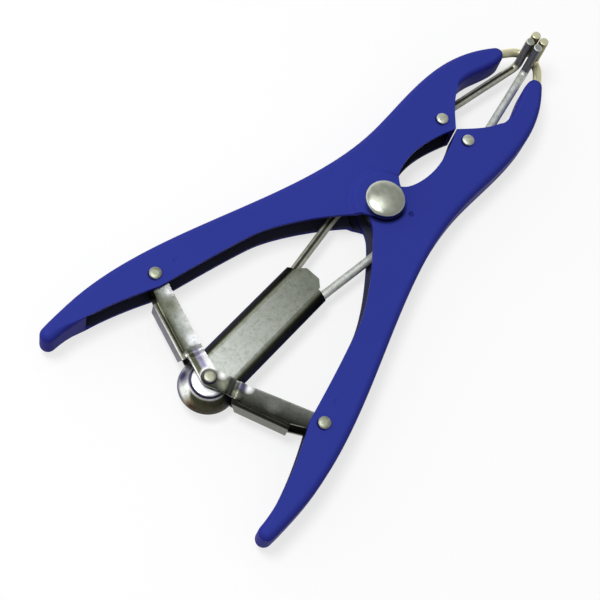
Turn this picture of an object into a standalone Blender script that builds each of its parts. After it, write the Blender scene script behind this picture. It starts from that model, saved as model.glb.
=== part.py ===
"""Castration band pliers: two pressed channel handles on one rivet, a link drive and four prongs.

Metres, +Z up, +Y from the grips to the prongs. The tool lies on its main rivet's tail. Its origin
is the centre of the underside of its bounding box. Plans are drawn from the main pivot's axis, with
x positive outwards from the centre line, and side is +1 for the right piece and -1 for the left.
"""

import math

import bmesh
import bpy
from mathutils import Matrix, Vector

# Clearances
SEAT_GAP = 0.00025
RUNNING_GAP = 0.0003

# Handles
SHEET = 0.0016
CHANNEL_HEIGHT = 0.0150
BEND_RADIUS = 0.0030
EAR_RADIUS = 0.0090
JAW_LENGTH = 0.0479
JAW_TIP_X = 0.0112
JAW_TIP_RADIUS = 0.0034
JAW_BELLY_X = 0.0261
JAW_BELLY_Y = 0.0530
NECK_X = 0.0252
NECK_Y = 0.0240
GRIP_LENGTH = 0.05035
GRIP_TIP_RADIUS = 0.0034
GRIP_BELLY_OUTSIDE = 0.0158
GRIP_BELLY_BACK = 0.0171
GRIP_TIP_OUTSIDE = 0.0121
GRIP_STEP_INSIDE = 0.0049
GRIP_STEP_BACK = 0.0028
WAIST_INSIDE = 0.0160
WAIST_AHEAD = 0.0402
LENS_HALF_WIDTH = 0.0059
LENS_Y = 0.0265
MOUTH_HALF_WIDTH = 0.0129
MOUTH_BACK = 0.0251
JAW_WALL_START = 0.0185
JAW_WALL_TAPER = 0.0035
POCKET_RADIUS = 0.0117
POCKET_FLARE = 0.0012

# Rivets
MAIN_HEAD_RADIUS = 0.0084
MAIN_HEAD_HEIGHT = 0.0028
MAIN_TAIL_RADIUS = 0.0062
MAIN_SHANK_RADIUS = 0.0040
SPACER_WALL = 0.0018
TAIL_HEIGHT = 0.0015
SMALL_HEAD_RADIUS = 0.0026
SMALL_HEAD_HEIGHT = 0.0013
SMALL_TAIL_RADIUS = 0.0024
SMALL_SHANK_RADIUS = 0.0015
JAW_RIVET_X = 0.00726
JAW_RIVET_Y = 0.0487
ROLLER_WALL = 0.0005
LINK_RIVET_X = 0.04454
LINK_RIVET_Y = 0.09075
LINK_RISE = 0.01681

# Slider and its joint
SLIDER_SHEET = 0.0010
SLIDER_ROOF_HALF = 0.0070
SLIDER_FLARE = 0.0035
SLIDER_DEPTH = 0.0038
SLIDER_BEND = 0.0010
SLIDER_WALL_FRONT = 0.0596
SLIDER_NOSE = 0.0037
SLIDER_NOSE_CHAMFER = 0.0027
CUP_FLOOR = -0.0037
CUP_RADIUS = 0.0118
CUP_LIP = 0.0010
CUP_PROUD = 0.0001
ROOF_TOP = 0.0039
JOINT_HEAD_RADIUS = 0.0025
JOINT_TAIL_HEIGHT = 0.0010
JOINT_SPACER_WALL = 0.0013
WASHER_RADIUS = 0.0032
WASHER_THICKNESS = 0.0005

# Links
LINK_SHEET = 0.0012
LINK_HEIGHT = 0.0110
LINK_FRONT = 0.0034
LINK_REAR = 0.0062
LINK_BEND = 0.0033
LINK_END = 0.0057
LINK_TONGUE_RADIUS = 0.0036
LINK_TONGUE_LENGTH = 0.0105
LINK_WEB_START = 0.0147
LINK_WEB_END_SHORT = 0.0163
LINK_SLOT_IN = 0.0020
LINK_SLOT_OUT = 0.0020
LINK_SLOT_SIDE = 0.0006

# Rods and prongs
ROD_RADIUS = 0.00185
ROD_LEVEL = -0.00205
ROD_GUIDE_GAP = 0.00044
ROD_BEND_START = -0.0160
ROD_BEND_END = 0.0500
ROD_BEND_LENGTH = 0.0100
EYE_RADIUS = 0.0042
EYE_SHANK_LENGTH = 0.0175
WIRE_RADIUS = 0.0020
PRONG_GAP = 0.00034
PRONG_PITCH = 0.00455
PRONG_PROUD = 0.0090
PRONG_TOP = 0.0185
PRONG_CHAMFER = 0.0004
ELBOW_RADIUS = 0.0034
WIRE_ROOT_BACK = 0.0266
WIRE_LEAVES_BACK = 0.0076
WIRE_LEVEL = 0.0018
WIRE_EXIT_X = 0.0012

HALF_HEIGHT = CHANNEL_HEIGHT / 2
NEST_RISE = SHEET + RUNNING_GAP
JAW_REACH = JAW_RIVET_Y + JAW_LENGTH
MOUTH_Y = JAW_REACH - MOUTH_BACK
GRIP_REACH = LINK_RIVET_Y + GRIP_LENGTH
GRIP_BELLY_Y = GRIP_REACH - GRIP_BELLY_BACK
JOINT_Y = LINK_RIVET_Y + LINK_RISE
PRONG_REACH = JAW_REACH + PRONG_PROUD
JOINT = Vector((0.0, -JOINT_Y, 0.0))
PIVOT = Vector((0.0, 0.0, 0.0))

PAINT = ("blue_paint", (0.030, 0.045, 0.32), 0.0, 0.42)
STEEL = ("bright_steel", (0.62, 0.62, 0.58), 1.0, 0.35)
ROD_STEEL = ("rod_steel", (0.50, 0.50, 0.46), 1.0, 0.40)
SLIDER_STEEL = ("slider_steel", (0.52, 0.52, 0.50), 1.0, 0.42)
PRONG_ZINC = ("yellow_zinc", (0.66, 0.58, 0.36), 1.0, 0.35)


def clear_scene():
    for obj in list(bpy.data.objects):
        bpy.data.objects.remove(obj)


def material(finish):
    name, colour, metallic, roughness = finish
    found = bpy.data.materials.get(name)
    if found:
        return found
    made = bpy.data.materials.new(name)
    made.use_nodes = True
    shader = made.node_tree.nodes["Principled BSDF"]
    shader.inputs["Base Color"].default_value = (*colour, 1.0)
    shader.inputs["Metallic"].default_value = metallic
    shader.inputs["Roughness"].default_value = roughness
    return made


def empty(name, parent=None, location=PIVOT):
    made = bpy.data.objects.new(name, None)
    bpy.context.collection.objects.link(made)
    made.parent = parent
    made.location = location
    return made


def finish_object(name, bm, finish, axis):
    """Turns the bmesh, drawn from the main pivot, into a named object whose origin is its joint's axis."""
    mesh = bpy.data.meshes.new(name)
    bm.to_mesh(mesh)
    bm.free()
    mesh.transform(Matrix.Translation(-axis.location))
    mesh.materials.append(material(finish))
    mesh.shade_smooth()
    mesh.set_sharp_from_angle(angle=math.radians(35))
    obj = bpy.data.objects.new(name, mesh)
    bpy.context.collection.objects.link(obj)
    obj.parent = axis
    return obj


# Solids

def loft(rings):
    """A closed solid through rings of points, each with as many points as the next."""
    bm = bmesh.new()
    loops = [[bm.verts.new(point) for point in ring] for ring in rings]
    for low, high in zip(loops, loops[1:]):
        for i in range(len(low)):
            j = (i + 1) % len(low)
            bm.faces.new((low[i], low[j], high[j], high[i]))
    bm.faces.new(list(reversed(loops[0])))
    bm.faces.new(loops[-1])
    bmesh.ops.recalc_face_normals(bm, faces=bm.faces)
    bmesh.ops.triangulate(bm, faces=[face for face in bm.faces if len(face.verts) == 4])
    return bm


def prism(plan, low, high):
    return loft([[(x, y, z) for x, y in plan] for z in (low, high)])


def turned(profile, sides, centre=PIVOT):
    """A solid of revolution about the vertical through centre, from (radius, height) points."""
    bm = bmesh.new()
    verts = [bm.verts.new((radius, 0.0, height)) for radius, height in profile]
    edges = [bm.edges.new(pair) for pair in zip(verts, verts[1:])]
    if profile[0][0] > 0:
        edges.append(bm.edges.new((verts[-1], verts[0])))
    bmesh.ops.spin(bm, geom=verts + edges, axis=(0, 0, 1), cent=(0, 0, 0), angle=math.tau,
                   steps=sides, use_merge=True)
    bmesh.ops.remove_doubles(bm, verts=bm.verts, dist=1e-6)
    bmesh.ops.recalc_face_normals(bm, faces=bm.faces)
    bmesh.ops.translate(bm, verts=bm.verts, vec=centre)
    return bm


def disc(radius, low, high, sides, centre=PIVOT):
    return turned([(0.0, low), (radius, low), (radius, high), (0.0, high)], sides, centre)


def swept(path, radii, sides):
    """A round bar along path, a list of points, with a radius at each point."""
    rings = []
    side_way = None
    for i, point in enumerate(path):
        before = path[max(i - 1, 0)]
        after = path[min(i + 1, len(path) - 1)]
        ahead = (after - before).normalized()
        if side_way is None:
            side_way = ahead.cross(Vector((0, 0, 1))).normalized()
        side_way = (side_way - ahead * side_way.dot(ahead)).normalized()
        up_way = side_way.cross(ahead)
        ring = []
        for k in range(sides):
            turn = math.tau * (k + 0.5) / sides
            ring.append(point + radii[i] * (math.cos(turn) * side_way + math.sin(turn) * up_way))
        rings.append(ring)
    return loft(rings)


def mesh_of(bm, name="cutter"):
    mesh = bpy.data.meshes.new(name)
    bm.to_mesh(mesh)
    bm.free()
    return bpy.data.objects.new(name, mesh)


def combined(bm, steps):
    """The bmesh after Boolean steps, each (an operation, a bmesh)."""
    base = mesh_of(bm, "base")
    bpy.context.collection.objects.link(base)
    tools = []
    for operation, other in steps:
        tool = mesh_of(other)
        bpy.context.collection.objects.link(tool)
        tools.append(tool)
        modifier = base.modifiers.new(operation.lower(), "BOOLEAN")
        modifier.operation = operation
        modifier.solver = "EXACT"
        modifier.object = tool
    bpy.context.view_layer.update()
    graph = bpy.context.evaluated_depsgraph_get()
    result = bmesh.new()
    result.from_mesh(base.evaluated_get(graph).to_mesh())
    for obj in tools + [base]:
        bpy.data.objects.remove(obj)
    bmesh.ops.remove_doubles(result, verts=result.verts, dist=1e-7)
    return result


def mirrored(bm, side):
    """Mirrors the plan to the left of the centre line when side is -1."""
    if side < 0:
        bmesh.ops.scale(bm, vec=(-1, 1, 1), verts=bm.verts)
        bmesh.ops.reverse_faces(bm, faces=bm.faces)
    return bm


# Plan curves

def bezier(p0, p1, p2, p3, count):
    """Points of a cubic curve from p0 up to but without p3."""
    points = []
    for i in range(count):
        t = i / count
        a, b, c, d = (1 - t) ** 3, 3 * t * (1 - t) ** 2, 3 * t * t * (1 - t), t ** 3
        points.append((a * p0[0] + b * p1[0] + c * p2[0] + d * p3[0],
                       a * p0[1] + b * p1[1] + c * p2[1] + d * p3[1]))
    return points


def arc(centre, radius, start, end, count):
    """Points of an arc in degrees from start up to but without end."""
    points = []
    for i in range(count):
        turn = math.radians(start + (end - start) * i / count)
        points.append((centre[0] + radius * math.cos(turn), centre[1] + radius * math.sin(turn)))
    return points


def smooth(value):
    value = min(max(value, 0.0), 1.0)
    return value * value * (3 - 2 * value)


JAW_TIP = (JAW_TIP_X, JAW_REACH - JAW_TIP_RADIUS)
GRIP_TIP = (LINK_RIVET_X + GRIP_TIP_OUTSIDE, -(GRIP_REACH - GRIP_TIP_RADIUS))
GRIP_BELLY = (LINK_RIVET_X + GRIP_BELLY_OUTSIDE, -GRIP_BELLY_Y)
JAW_TIP_TURN = 35.0


def web_line():
    """The outer edge from the jaw tip to the grip end, as it curves past belly, neck and grip."""
    start = arc(JAW_TIP, JAW_TIP_RADIUS, JAW_TIP_TURN, JAW_TIP_TURN, 1)[0]
    belly = (JAW_BELLY_X, JAW_BELLY_Y)
    neck = (NECK_X, NECK_Y)
    grip_end = (GRIP_TIP[0] + GRIP_TIP_RADIUS, GRIP_TIP[1])
    jaw_arm = 0.36 * (start[1] - belly[1])
    grip_arm = 0.33 * (neck[1] - GRIP_BELLY[1])
    points = bezier(start, (start[0] + 0.60 * jaw_arm, start[1] - 0.80 * jaw_arm),
                    (belly[0], belly[1] + 1.2 * jaw_arm), belly, 7)
    points += bezier(belly, (belly[0], belly[1] - 0.010), (neck[0], neck[1] + 0.010), neck, 3)
    points += bezier(neck, (neck[0], neck[1] - grip_arm), (GRIP_BELLY[0], GRIP_BELLY[1] + grip_arm),
                     GRIP_BELLY, 13)
    points += bezier(GRIP_BELLY, (GRIP_BELLY[0], GRIP_BELLY[1] - 0.004),
                     (grip_end[0] + 0.0003, grip_end[1] + 0.004), grip_end, 3)
    return points


def grip_edge():
    """The open edge from the grip end to the crotch, with its step inwards at the link rivet."""
    start = (GRIP_TIP[0] - GRIP_TIP_RADIUS, GRIP_TIP[1])
    step = (LINK_RIVET_X - GRIP_STEP_INSIDE, -(LINK_RIVET_Y + GRIP_STEP_BACK))
    waist = (LINK_RIVET_X - WAIST_INSIDE, -(LINK_RIVET_Y - WAIST_AHEAD))
    crotch = (0.0052, -(EAR_RADIUS + 0.0044))
    run = start[1] - step[1]
    points = bezier(start, (start[0] - 0.0004, start[1] - 0.34 * run),
                    (step[0] + 0.0049, step[1] + 0.23 * run), step, 6)
    points += bezier(step, (step[0] - 0.0022, step[1] + 0.0095),
                     (waist[0] + 0.0037, waist[1] - 0.0120), waist, 4)
    points += bezier(waist, (waist[0] - 0.0036, waist[1] + 0.0115),
                     (crotch[0] + 0.0075, crotch[1] - 0.0082), crotch, 6)
    return points, crotch


def ear_edge(crotch):
    """From the crotch round the ear that reaches across the centre line, to the lens opening."""
    low, high = 250.0, 110.0
    foot = arc(PIVOT, EAR_RADIUS, low, low, 1)[0]
    brow = arc(PIVOT, EAR_RADIUS, high, high, 1)[0]
    points = bezier(crotch, (crotch[0] - 0.0022, crotch[1] + 0.0024),
                    (foot[0] + 0.0030, foot[1] - 0.0011), foot, 4)
    points += arc(PIVOT, EAR_RADIUS, low, high, 14)
    return points, brow


def jaw_edge(brow):
    """The open edge along the lens opening, the closed stop and the mouth, to the jaw tip."""
    lens_foot = (0.0030, EAR_RADIUS + 0.0042)
    lens = (LENS_HALF_WIDTH, LENS_Y)
    stop = (RUNNING_GAP / 2 + 0.00005, JAW_RIVET_Y + 0.0009)
    mouth = (MOUTH_HALF_WIDTH, MOUTH_Y)
    tip = (JAW_TIP[0] - JAW_TIP_RADIUS, JAW_TIP[1])
    points = bezier(brow, (brow[0] + 0.0023, brow[1] + 0.0009),
                    (lens_foot[0] - 0.0013, lens_foot[1] - 0.0021), lens_foot, 3)
    points += bezier(lens_foot, (lens_foot[0] + 0.0018, lens_foot[1] + 0.0032),
                     (lens[0], lens[1] - 0.0050), lens, 4)
    points += bezier(lens, (lens[0], lens[1] + 0.0075), (stop[0] + 0.0026, stop[1] - 0.0061), stop, 5)
    points += bezier(stop, (stop[0] + 0.0050, stop[1] + 0.0058),
                     (mouth[0], mouth[1] - 0.0090), mouth, 6)
    points += bezier(mouth, (mouth[0], mouth[1] + 0.0065), (tip[0], tip[1] - 0.0072), tip, 4)
    return points


def handle_plan():
    """The flange's outline and, for each point, how much of the bend's radius is rolled off there."""
    web = web_line()
    grip_round = arc(GRIP_TIP, GRIP_TIP_RADIUS, 0.0, -180.0, 8)
    grip, crotch = grip_edge()
    ear, brow = ear_edge(crotch)
    jaw = jaw_edge(brow)
    jaw_round = arc(JAW_TIP, JAW_TIP_RADIUS, 180.0, JAW_TIP_TURN, 5)
    rolls = [0.7 + 0.3 * smooth(i / 5) for i in range(len(web))]
    rolls += [0.5 * (1 + math.cos(math.pi * i / 8)) for i in range(len(grip_round))]
    rolls += [0.0] * (len(grip) + len(ear) + len(jaw) - 6)
    rolls += [0.15, 0.5, 0.8, 0.8, 0.75, 0.7]
    rolls += [0.7] * len(jaw_round)
    return web + grip_round + grip + ear + jaw + jaw_round, rolls


def inward(points):
    """The unit normal into a closed plan that runs clockwise, at each point."""
    normals = []
    for i, point in enumerate(points):
        before, after = points[i - 1], points[(i + 1) % len(points)]
        along = Vector((after[0] - before[0], after[1] - before[1])).normalized()
        normals.append(Vector((along.y, -along.x)))
    return normals


def channel_body(points, rolls, radius, half_height, steps=3):
    """The plan as a block whose rolled edges are rounded above and below."""
    normals = inward(points)
    rings = []
    for sign in (-1, 1):
        turns = [math.pi / 2 * k / steps for k in range(steps + 1)]
        for turn in (reversed(turns) if sign < 0 else turns):
            z = sign * (half_height - radius + radius * math.sin(turn))
            inset = radius * (1 - math.cos(turn))
            rings.append([(p[0] + n.x * inset * roll, p[1] + n.y * inset * roll, z)
                          for p, n, roll in zip(points, normals, rolls)])
    return loft(rings)


def channel_hollow():
    """What is cut out: the plan inside the web's thickness, open along the inner edge up to the jaw's end."""
    around = arc(JAW_TIP, JAW_TIP_RADIUS, 150.0, JAW_TIP_TURN, 4) + web_line()
    around += arc(GRIP_TIP, GRIP_TIP_RADIUS, 0.0, -150.0, 7)
    inner = []
    for i, point in enumerate(around):
        before, after = around[max(i - 1, 0)], around[min(i + 1, len(around) - 1)]
        along = Vector((after[0] - before[0], after[1] - before[1])).normalized()
        inner.append((point[0] + along.y * SHEET, point[1] - along.x * SHEET))
    far = -(EAR_RADIUS + 0.004)
    end = inner[-1]
    open_y = JAW_RIVET_Y + JAW_WALL_START
    wall = [p for p in jaw_edge(ear_edge(grip_edge()[1])[1]) if p[1] > open_y + JAW_WALL_TAPER]
    wall = [(p[0] + SHEET, p[1]) for p in wall]
    points = inner + [(end[0] - 0.008, end[1]), (far, -EAR_RADIUS - 0.012), (far, open_y)]
    points += [(wall[0][0] - 2 * SHEET, open_y)] + wall
    rolls = [0.2 + 0.8 * smooth(i / 9) for i in range(len(inner))] + [0.0] * 4
    rolls += [0.9, 0.8, 0.6, 0.4, 0.3, 0.3][:len(wall)]
    return channel_body(points, rolls, BEND_RADIUS - SHEET, HALF_HEIGHT - SHEET, steps=2)


def boss(radius, low, high, sign):
    """A low flared disc about the pivot, wide at low and narrow at high, above the middle or below it."""
    profile = [(0.0, sign * low), (radius + POCKET_FLARE, sign * low), (radius, sign * high),
               (0.0, sign * high)]
    return turned(profile, 40)


def raised(shell, points):
    """Presses the flanges out round the pivot, so that the other handle's ears fit inside this one's."""
    top = HALF_HEIGHT + NEST_RISE
    block = prism(points, -top - SHEET, top + SHEET)
    steps = []
    for sign in (-1, 1):
        disc_above = boss(POCKET_RADIUS + 0.8 * SHEET, HALF_HEIGHT, top, sign)
        steps.append(("UNION", combined(block.copy(), [("INTERSECT", disc_above)])))
    block.free()
    return combined(shell, steps)


def make_handle(side, axis):
    points, rolls = handle_plan()
    shell = channel_body(points, rolls, BEND_RADIUS, HALF_HEIGHT)
    small_hole = SMALL_SHANK_RADIUS + SEAT_GAP
    reach = HALF_HEIGHT + 0.002
    pockets = []
    if side < 0:
        shell = raised(shell, points)
        inside = HALF_HEIGHT - SHEET
        pockets = [("DIFFERENCE", boss(POCKET_RADIUS, inside - 0.0002, inside + NEST_RISE, sign))
                   for sign in (-1, 1)]
    wire_hole = swept(outer_prong_path(), [WIRE_RADIUS + SEAT_GAP] * WIRE_POINTS, 16)
    shell = combined(shell, pockets + [
        ("DIFFERENCE", channel_hollow()),
        ("DIFFERENCE", wire_hole),
        ("DIFFERENCE", disc(MAIN_SHANK_RADIUS + SEAT_GAP, -reach, reach, 28)),
        ("DIFFERENCE", disc(small_hole, -reach, reach, 16, Vector((JAW_RIVET_X, JAW_RIVET_Y, 0)))),
        ("DIFFERENCE", disc(small_hole, -reach, reach, 16, Vector((LINK_RIVET_X, -LINK_RIVET_Y, 0)))),
    ])
    name = "right_handle" if side > 0 else "left_handle"
    return finish_object(name, mirrored(shell, side), PAINT, axis)


# Rivets, spacers and rollers

def domed(radius, height, base, rim_share=0.25, steps=5):
    """Profile of a domed head from its crown down to its rim and seat."""
    rim = height * rim_share
    rise = height - rim
    points = []
    for k in range(steps + 1):
        turn = math.pi / 2 * k / steps
        points.append((radius * math.sin(turn), base + rim + rise * math.cos(turn)))
    points.append((radius, base))
    return points


def rivet(name, centre, head, shank, tail, span, finish, axis, sides):
    """A rivet standing through span = (low, high), with head = (radius, height) and tail likewise."""
    low, high = span
    profile = domed(head[0], head[1], high)
    profile += [(shank, high), (shank, low), (tail[0], low)]
    profile += [(tail[0], low - 0.8 * tail[1]), (tail[0] - 0.2 * tail[1], low - tail[1]),
                (0.0, low - tail[1])]
    profile[0] = (0.0, profile[0][1])
    return finish_object(name, turned(profile, sides, centre), finish, axis)


def tube(name, centre, inner, outer, span, finish, axis, sides):
    low, high = span
    profile = [(inner, low), (outer, low), (outer, high), (inner, high)]
    return finish_object(name, turned(profile, sides, centre), finish, axis)


def make_main_pivot(axis):
    seat = HALF_HEIGHT + NEST_RISE + SEAT_GAP
    rivet("main_rivet", PIVOT, (MAIN_HEAD_RADIUS, MAIN_HEAD_HEIGHT), MAIN_SHANK_RADIUS,
          (MAIN_TAIL_RADIUS, TAIL_HEIGHT), (-seat, seat), STEEL, axis, 40)
    inner = MAIN_SHANK_RADIUS + SEAT_GAP
    half = HALF_HEIGHT - SHEET - SEAT_GAP
    tube("pivot_spacer", PIVOT, inner, inner + SPACER_WALL, (-half, half), STEEL, axis, 28)


def make_handle_rivets(side, axis):
    word = "right" if side > 0 else "left"
    seat = HALF_HEIGHT + SEAT_GAP
    head = (SMALL_HEAD_RADIUS, SMALL_HEAD_HEIGHT)
    tail = (SMALL_TAIL_RADIUS, TAIL_HEIGHT)
    jaw = Vector((side * JAW_RIVET_X, JAW_RIVET_Y, 0))
    link = Vector((side * LINK_RIVET_X, -LINK_RIVET_Y, 0))
    rivet(word + "_jaw_rivet", jaw, head, SMALL_SHANK_RADIUS, tail, (-seat, seat), STEEL, axis, 18)
    rivet(word + "_link_rivet", link, head, SMALL_SHANK_RADIUS, tail, (-seat, seat), STEEL, axis, 18)
    inner = SMALL_SHANK_RADIUS + SEAT_GAP
    half = HALF_HEIGHT - SHEET - SEAT_GAP
    tube(word + "_jaw_roller", jaw, inner, inner + ROLLER_WALL, (-half, half), STEEL, axis, 18)


# Slider

def tray_plan(half, front):
    """The tray's outline at one level: straight sides and a round rear about the joint."""
    points = [(-half, front), (half, front)]
    points += arc((0.0, -JOINT_Y), half, 0.0, -180.0, 16)
    points.append((-half, -JOINT_Y))
    return points


def half_at(z):
    """Half the tray's width outside, at one level: its walls splay out as they go down."""
    return SLIDER_ROOF_HALF + SLIDER_FLARE * (ROOF_TOP - z) / SLIDER_DEPTH


def make_slider(axis):
    roof_under = ROOF_TOP - SLIDER_SHEET
    floor = ROOF_TOP - SLIDER_DEPTH
    front = -JOINT_Y + SLIDER_WALL_FRONT
    nose = front + SLIDER_NOSE
    wall = SLIDER_SHEET * math.hypot(1.0, SLIDER_FLARE / SLIDER_DEPTH)
    bend = SLIDER_BEND
    shoulder = ROOF_TOP - bend
    roof_half = SLIDER_ROOF_HALF - 0.4 * bend
    outer = [(floor, half_at(floor)), (shoulder, half_at(shoulder)),
             (ROOF_TOP - 0.4 * bend, half_at(ROOF_TOP - 0.7 * bend)), (ROOF_TOP, roof_half)]
    tray = loft([[(x, y, z) for x, y in tray_plan(half, nose)] for z, half in outer])
    below = floor - 0.001
    inner = [(below, half_at(below) - wall), (roof_under, half_at(roof_under) - wall)]
    hollow = loft([[(x, y, z) for x, y in tray_plan(half, nose + 0.002)] for z, half in inner])
    lip = CUP_FLOOR + CUP_LIP
    ease = CUP_PROUD
    cup = turned([(0.0, CUP_FLOOR), (CUP_RADIUS, CUP_FLOOR), (CUP_RADIUS, lip),
                  (half_at(floor) + ease, floor + CUP_LIP / 2), (half_at(shoulder) + ease, shoulder),
                  (half_at(shoulder) - SLIDER_SHEET / 2, shoulder + bend / 5), (0.0, shoulder + bend / 5)],
                 36, JOINT)
    deep = shoulder - SLIDER_SHEET
    cup_hollow = turned([(0.0, CUP_FLOOR - 0.001), (CUP_RADIUS - SLIDER_SHEET, CUP_FLOOR - 0.001),
                         (CUP_RADIUS - SLIDER_SHEET, lip),
                         (half_at(floor) + ease - wall, floor + CUP_LIP / 2),
                         (half_at(deep) + ease / 2 - wall, deep), (0.0, deep)], 36, JOINT)
    wide = CUP_RADIUS + 0.002
    behind = -JOINT_Y + CUP_LIP / 2
    under_cup = prism([(-wide, behind), (-wide, nose), (wide, nose), (wide, behind)],
                      CUP_FLOOR - 0.001, floor - ease / 3)
    under_nose = prism([(-wide, front), (-wide, nose + 0.001), (wide, nose + 0.001), (wide, front)],
                       CUP_FLOOR - 0.001, roof_under + ease / 2)
    cut = SLIDER_NOSE_CHAMFER
    edge = roof_half + ease
    corners = [prism([(side * (edge - cut), nose + 0.001), (side * (edge - cut), nose),
                      (side * edge, nose - cut), (side * wide, nose - cut),
                      (side * wide, nose + 0.001)][::side], floor, ROOF_TOP + 0.001) for side in (1, -1)]
    hole = disc(SMALL_SHANK_RADIUS + SEAT_GAP, deep, ROOF_TOP + 0.002, 16, JOINT)
    cutters = [hollow, cup_hollow, under_cup, under_nose, hole] + corners
    body = combined(tray, [("UNION", cup)] + [("DIFFERENCE", cutter) for cutter in cutters])
    finish_object("slider", body, SLIDER_STEEL, axis)


# The levels of what is stacked on the joint rivet, from the slider's roof upwards and mirrored below.
LEFT_TONGUE = ROOF_TOP + SEAT_GAP
RIGHT_TONGUE = LEFT_TONGUE + LINK_SHEET + SEAT_GAP
STACK_TOP = RIGHT_TONGUE + LINK_SHEET + SEAT_GAP
EYE_TOP = ROD_LEVEL + ROD_RADIUS


def make_joint(axis):
    low = -(STACK_TOP + WASHER_THICKNESS + SEAT_GAP)
    rivet("link_joint_rivet", JOINT, (JOINT_HEAD_RADIUS, SMALL_HEAD_HEIGHT), SMALL_SHANK_RADIUS,
          (SMALL_TAIL_RADIUS, JOINT_TAIL_HEIGHT), (low, STACK_TOP), STEEL, axis, 18)
    inner = SMALL_SHANK_RADIUS + SEAT_GAP
    tube("joint_washer", JOINT, inner, WASHER_RADIUS, (-STACK_TOP - WASHER_THICKNESS, -STACK_TOP),
         STEEL, axis, 20)
    tube("joint_spacer", JOINT, inner, inner + JOINT_SPACER_WALL,
         (EYE_TOP + SEAT_GAP, ROOF_TOP - SLIDER_SHEET - SEAT_GAP), STEEL, axis, 20)


# Links, drawn with x along the link from the joint and y towards the prongs

LINK_LENGTH = math.hypot(LINK_RIVET_X, LINK_RISE)
LINK_TURN = math.atan2(LINK_RISE, LINK_RIVET_X)


def link_plan():
    """Outline of the folded link and how much of the bend is rolled off at each point."""
    end = LINK_LENGTH + LINK_END
    corner = 0.0030
    web_start, web_end = LINK_WEB_START, end - LINK_WEB_END_SHORT
    neck = LINK_TONGUE_LENGTH
    tongue = LINK_TONGUE_RADIUS
    rear = [(web_end + 0.0030, -LINK_FRONT), (web_end + 0.0004, -LINK_REAR),
            (web_start - 0.0004, -LINK_REAR), (web_start - 0.0016, -tongue - 0.0004), (neck, -tongue), (neck - 0.001, -tongue), (neck - 0.002, -tongue), (neck - 0.003, -tongue)]
    round_tongue = arc((0.0, 0.0), tongue, 270.0, 90.0, 12)
    front = [(0.0, tongue), (neck - 0.003, tongue), (neck - 0.002, tongue), (neck - 0.001, tongue),
             (neck, tongue), (web_start, LINK_FRONT), (end - corner, LINK_FRONT)]
    nose = arc((end - corner, LINK_FRONT - corner), corner, 90.0, 0.0, 4)
    heel = arc((end - corner, -LINK_FRONT + corner), corner, 0.0, -80.0, 4)
    points = rear + round_tongue + front + nose + heel
    rolls = [0.0, 1.0, 1.0] + [0.0] * (len(points) - 3)
    return points, rolls


def make_link(side, axis):
    points, rolls = link_plan()
    half = LINK_HEIGHT / 2
    body = channel_body(points, rolls, LINK_BEND, half)
    inside = half - LINK_SHEET
    end = LINK_LENGTH + LINK_END
    web_end = end - LINK_WEB_END_SHORT
    web_face = -LINK_REAR + LINK_SHEET
    far = LINK_REAR + 0.004
    corner = LINK_SHEET / 5
    hollow_plan = [(-far, far), (end + 0.004, far), (end + 0.004, -far), (web_end, -far),
                   (web_end, web_face - corner), (web_end, web_face), (LINK_WEB_START, web_face),
                   (LINK_WEB_START, web_face - corner), (LINK_WEB_START, -far), (-far, -far)]
    hollow_rolls = [0.0] * 5 + [1.0, 1.0] + [0.0] * 3
    slot_radius = SMALL_SHANK_RADIUS + LINK_SLOT_SIDE
    slot = arc((LINK_LENGTH + LINK_SLOT_OUT, 0.0), slot_radius, 90.0, -90.0, 8)
    slot += arc((LINK_LENGTH - LINK_SLOT_IN, 0.0), slot_radius, 270.0, 90.0, 8)
    reach = half + 0.002
    body = combined(body, [
        ("DIFFERENCE", channel_body(hollow_plan, hollow_rolls, LINK_BEND - LINK_SHEET, inside, steps=2)),
        ("DIFFERENCE", prism(slot, -reach, reach)),
        ("DIFFERENCE", disc(SMALL_SHANK_RADIUS + SEAT_GAP, -reach, reach, 16)),
    ])
    tongue_level = RIGHT_TONGUE if side > 0 else LEFT_TONGUE
    lift = tongue_level - inside
    start = LINK_TONGUE_LENGTH - 0.003
    for k in range(4):
        bmesh.ops.bisect_plane(body, geom=body.verts[:] + body.edges[:] + body.faces[:], dist=1e-7,
                               plane_co=(start + 0.001 * k, 0, 0), plane_no=(1, 0, 0))
    bmesh.ops.remove_doubles(body, verts=body.verts, dist=2e-6)
    for vert in body.verts:
        share = 1 - smooth((vert.co.x - start) / 0.003)
        vert.co.z += lift * share if vert.co.z > 0 else -lift * share
    bmesh.ops.rotate(body, verts=body.verts, cent=PIVOT, matrix=Matrix.Rotation(LINK_TURN, 3, "Z"))
    bmesh.ops.translate(body, verts=body.verts, vec=JOINT)
    name = "right_link" if side > 0 else "left_link"
    finish_object(name, mirrored(body, side), STEEL, axis)


# Rods and prongs

PRONG_X = WIRE_RADIUS + PRONG_GAP / 2
ROD_MIDDLE_X = JAW_RIVET_X + SMALL_SHANK_RADIUS + SEAT_GAP + ROLLER_WALL + ROD_GUIDE_GAP + ROD_RADIUS


def upright(foot, ahead, level, steps=6):
    """An elbow from the level way ahead to vertical at foot, and the prong above it."""
    path = []
    for k in range(steps + 1):
        turn = math.pi / 2 * k / steps
        back = ELBOW_RADIUS * (1 - math.sin(turn))
        path.append(Vector((foot[0] - ahead.x * back, foot[1] - ahead.y * back,
                            level + ELBOW_RADIUS * (1 - math.cos(turn)))))
    path.append(Vector((foot[0], foot[1], PRONG_TOP - PRONG_CHAMFER)))
    path.append(Vector((foot[0], foot[1], PRONG_TOP)))
    return path


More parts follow.
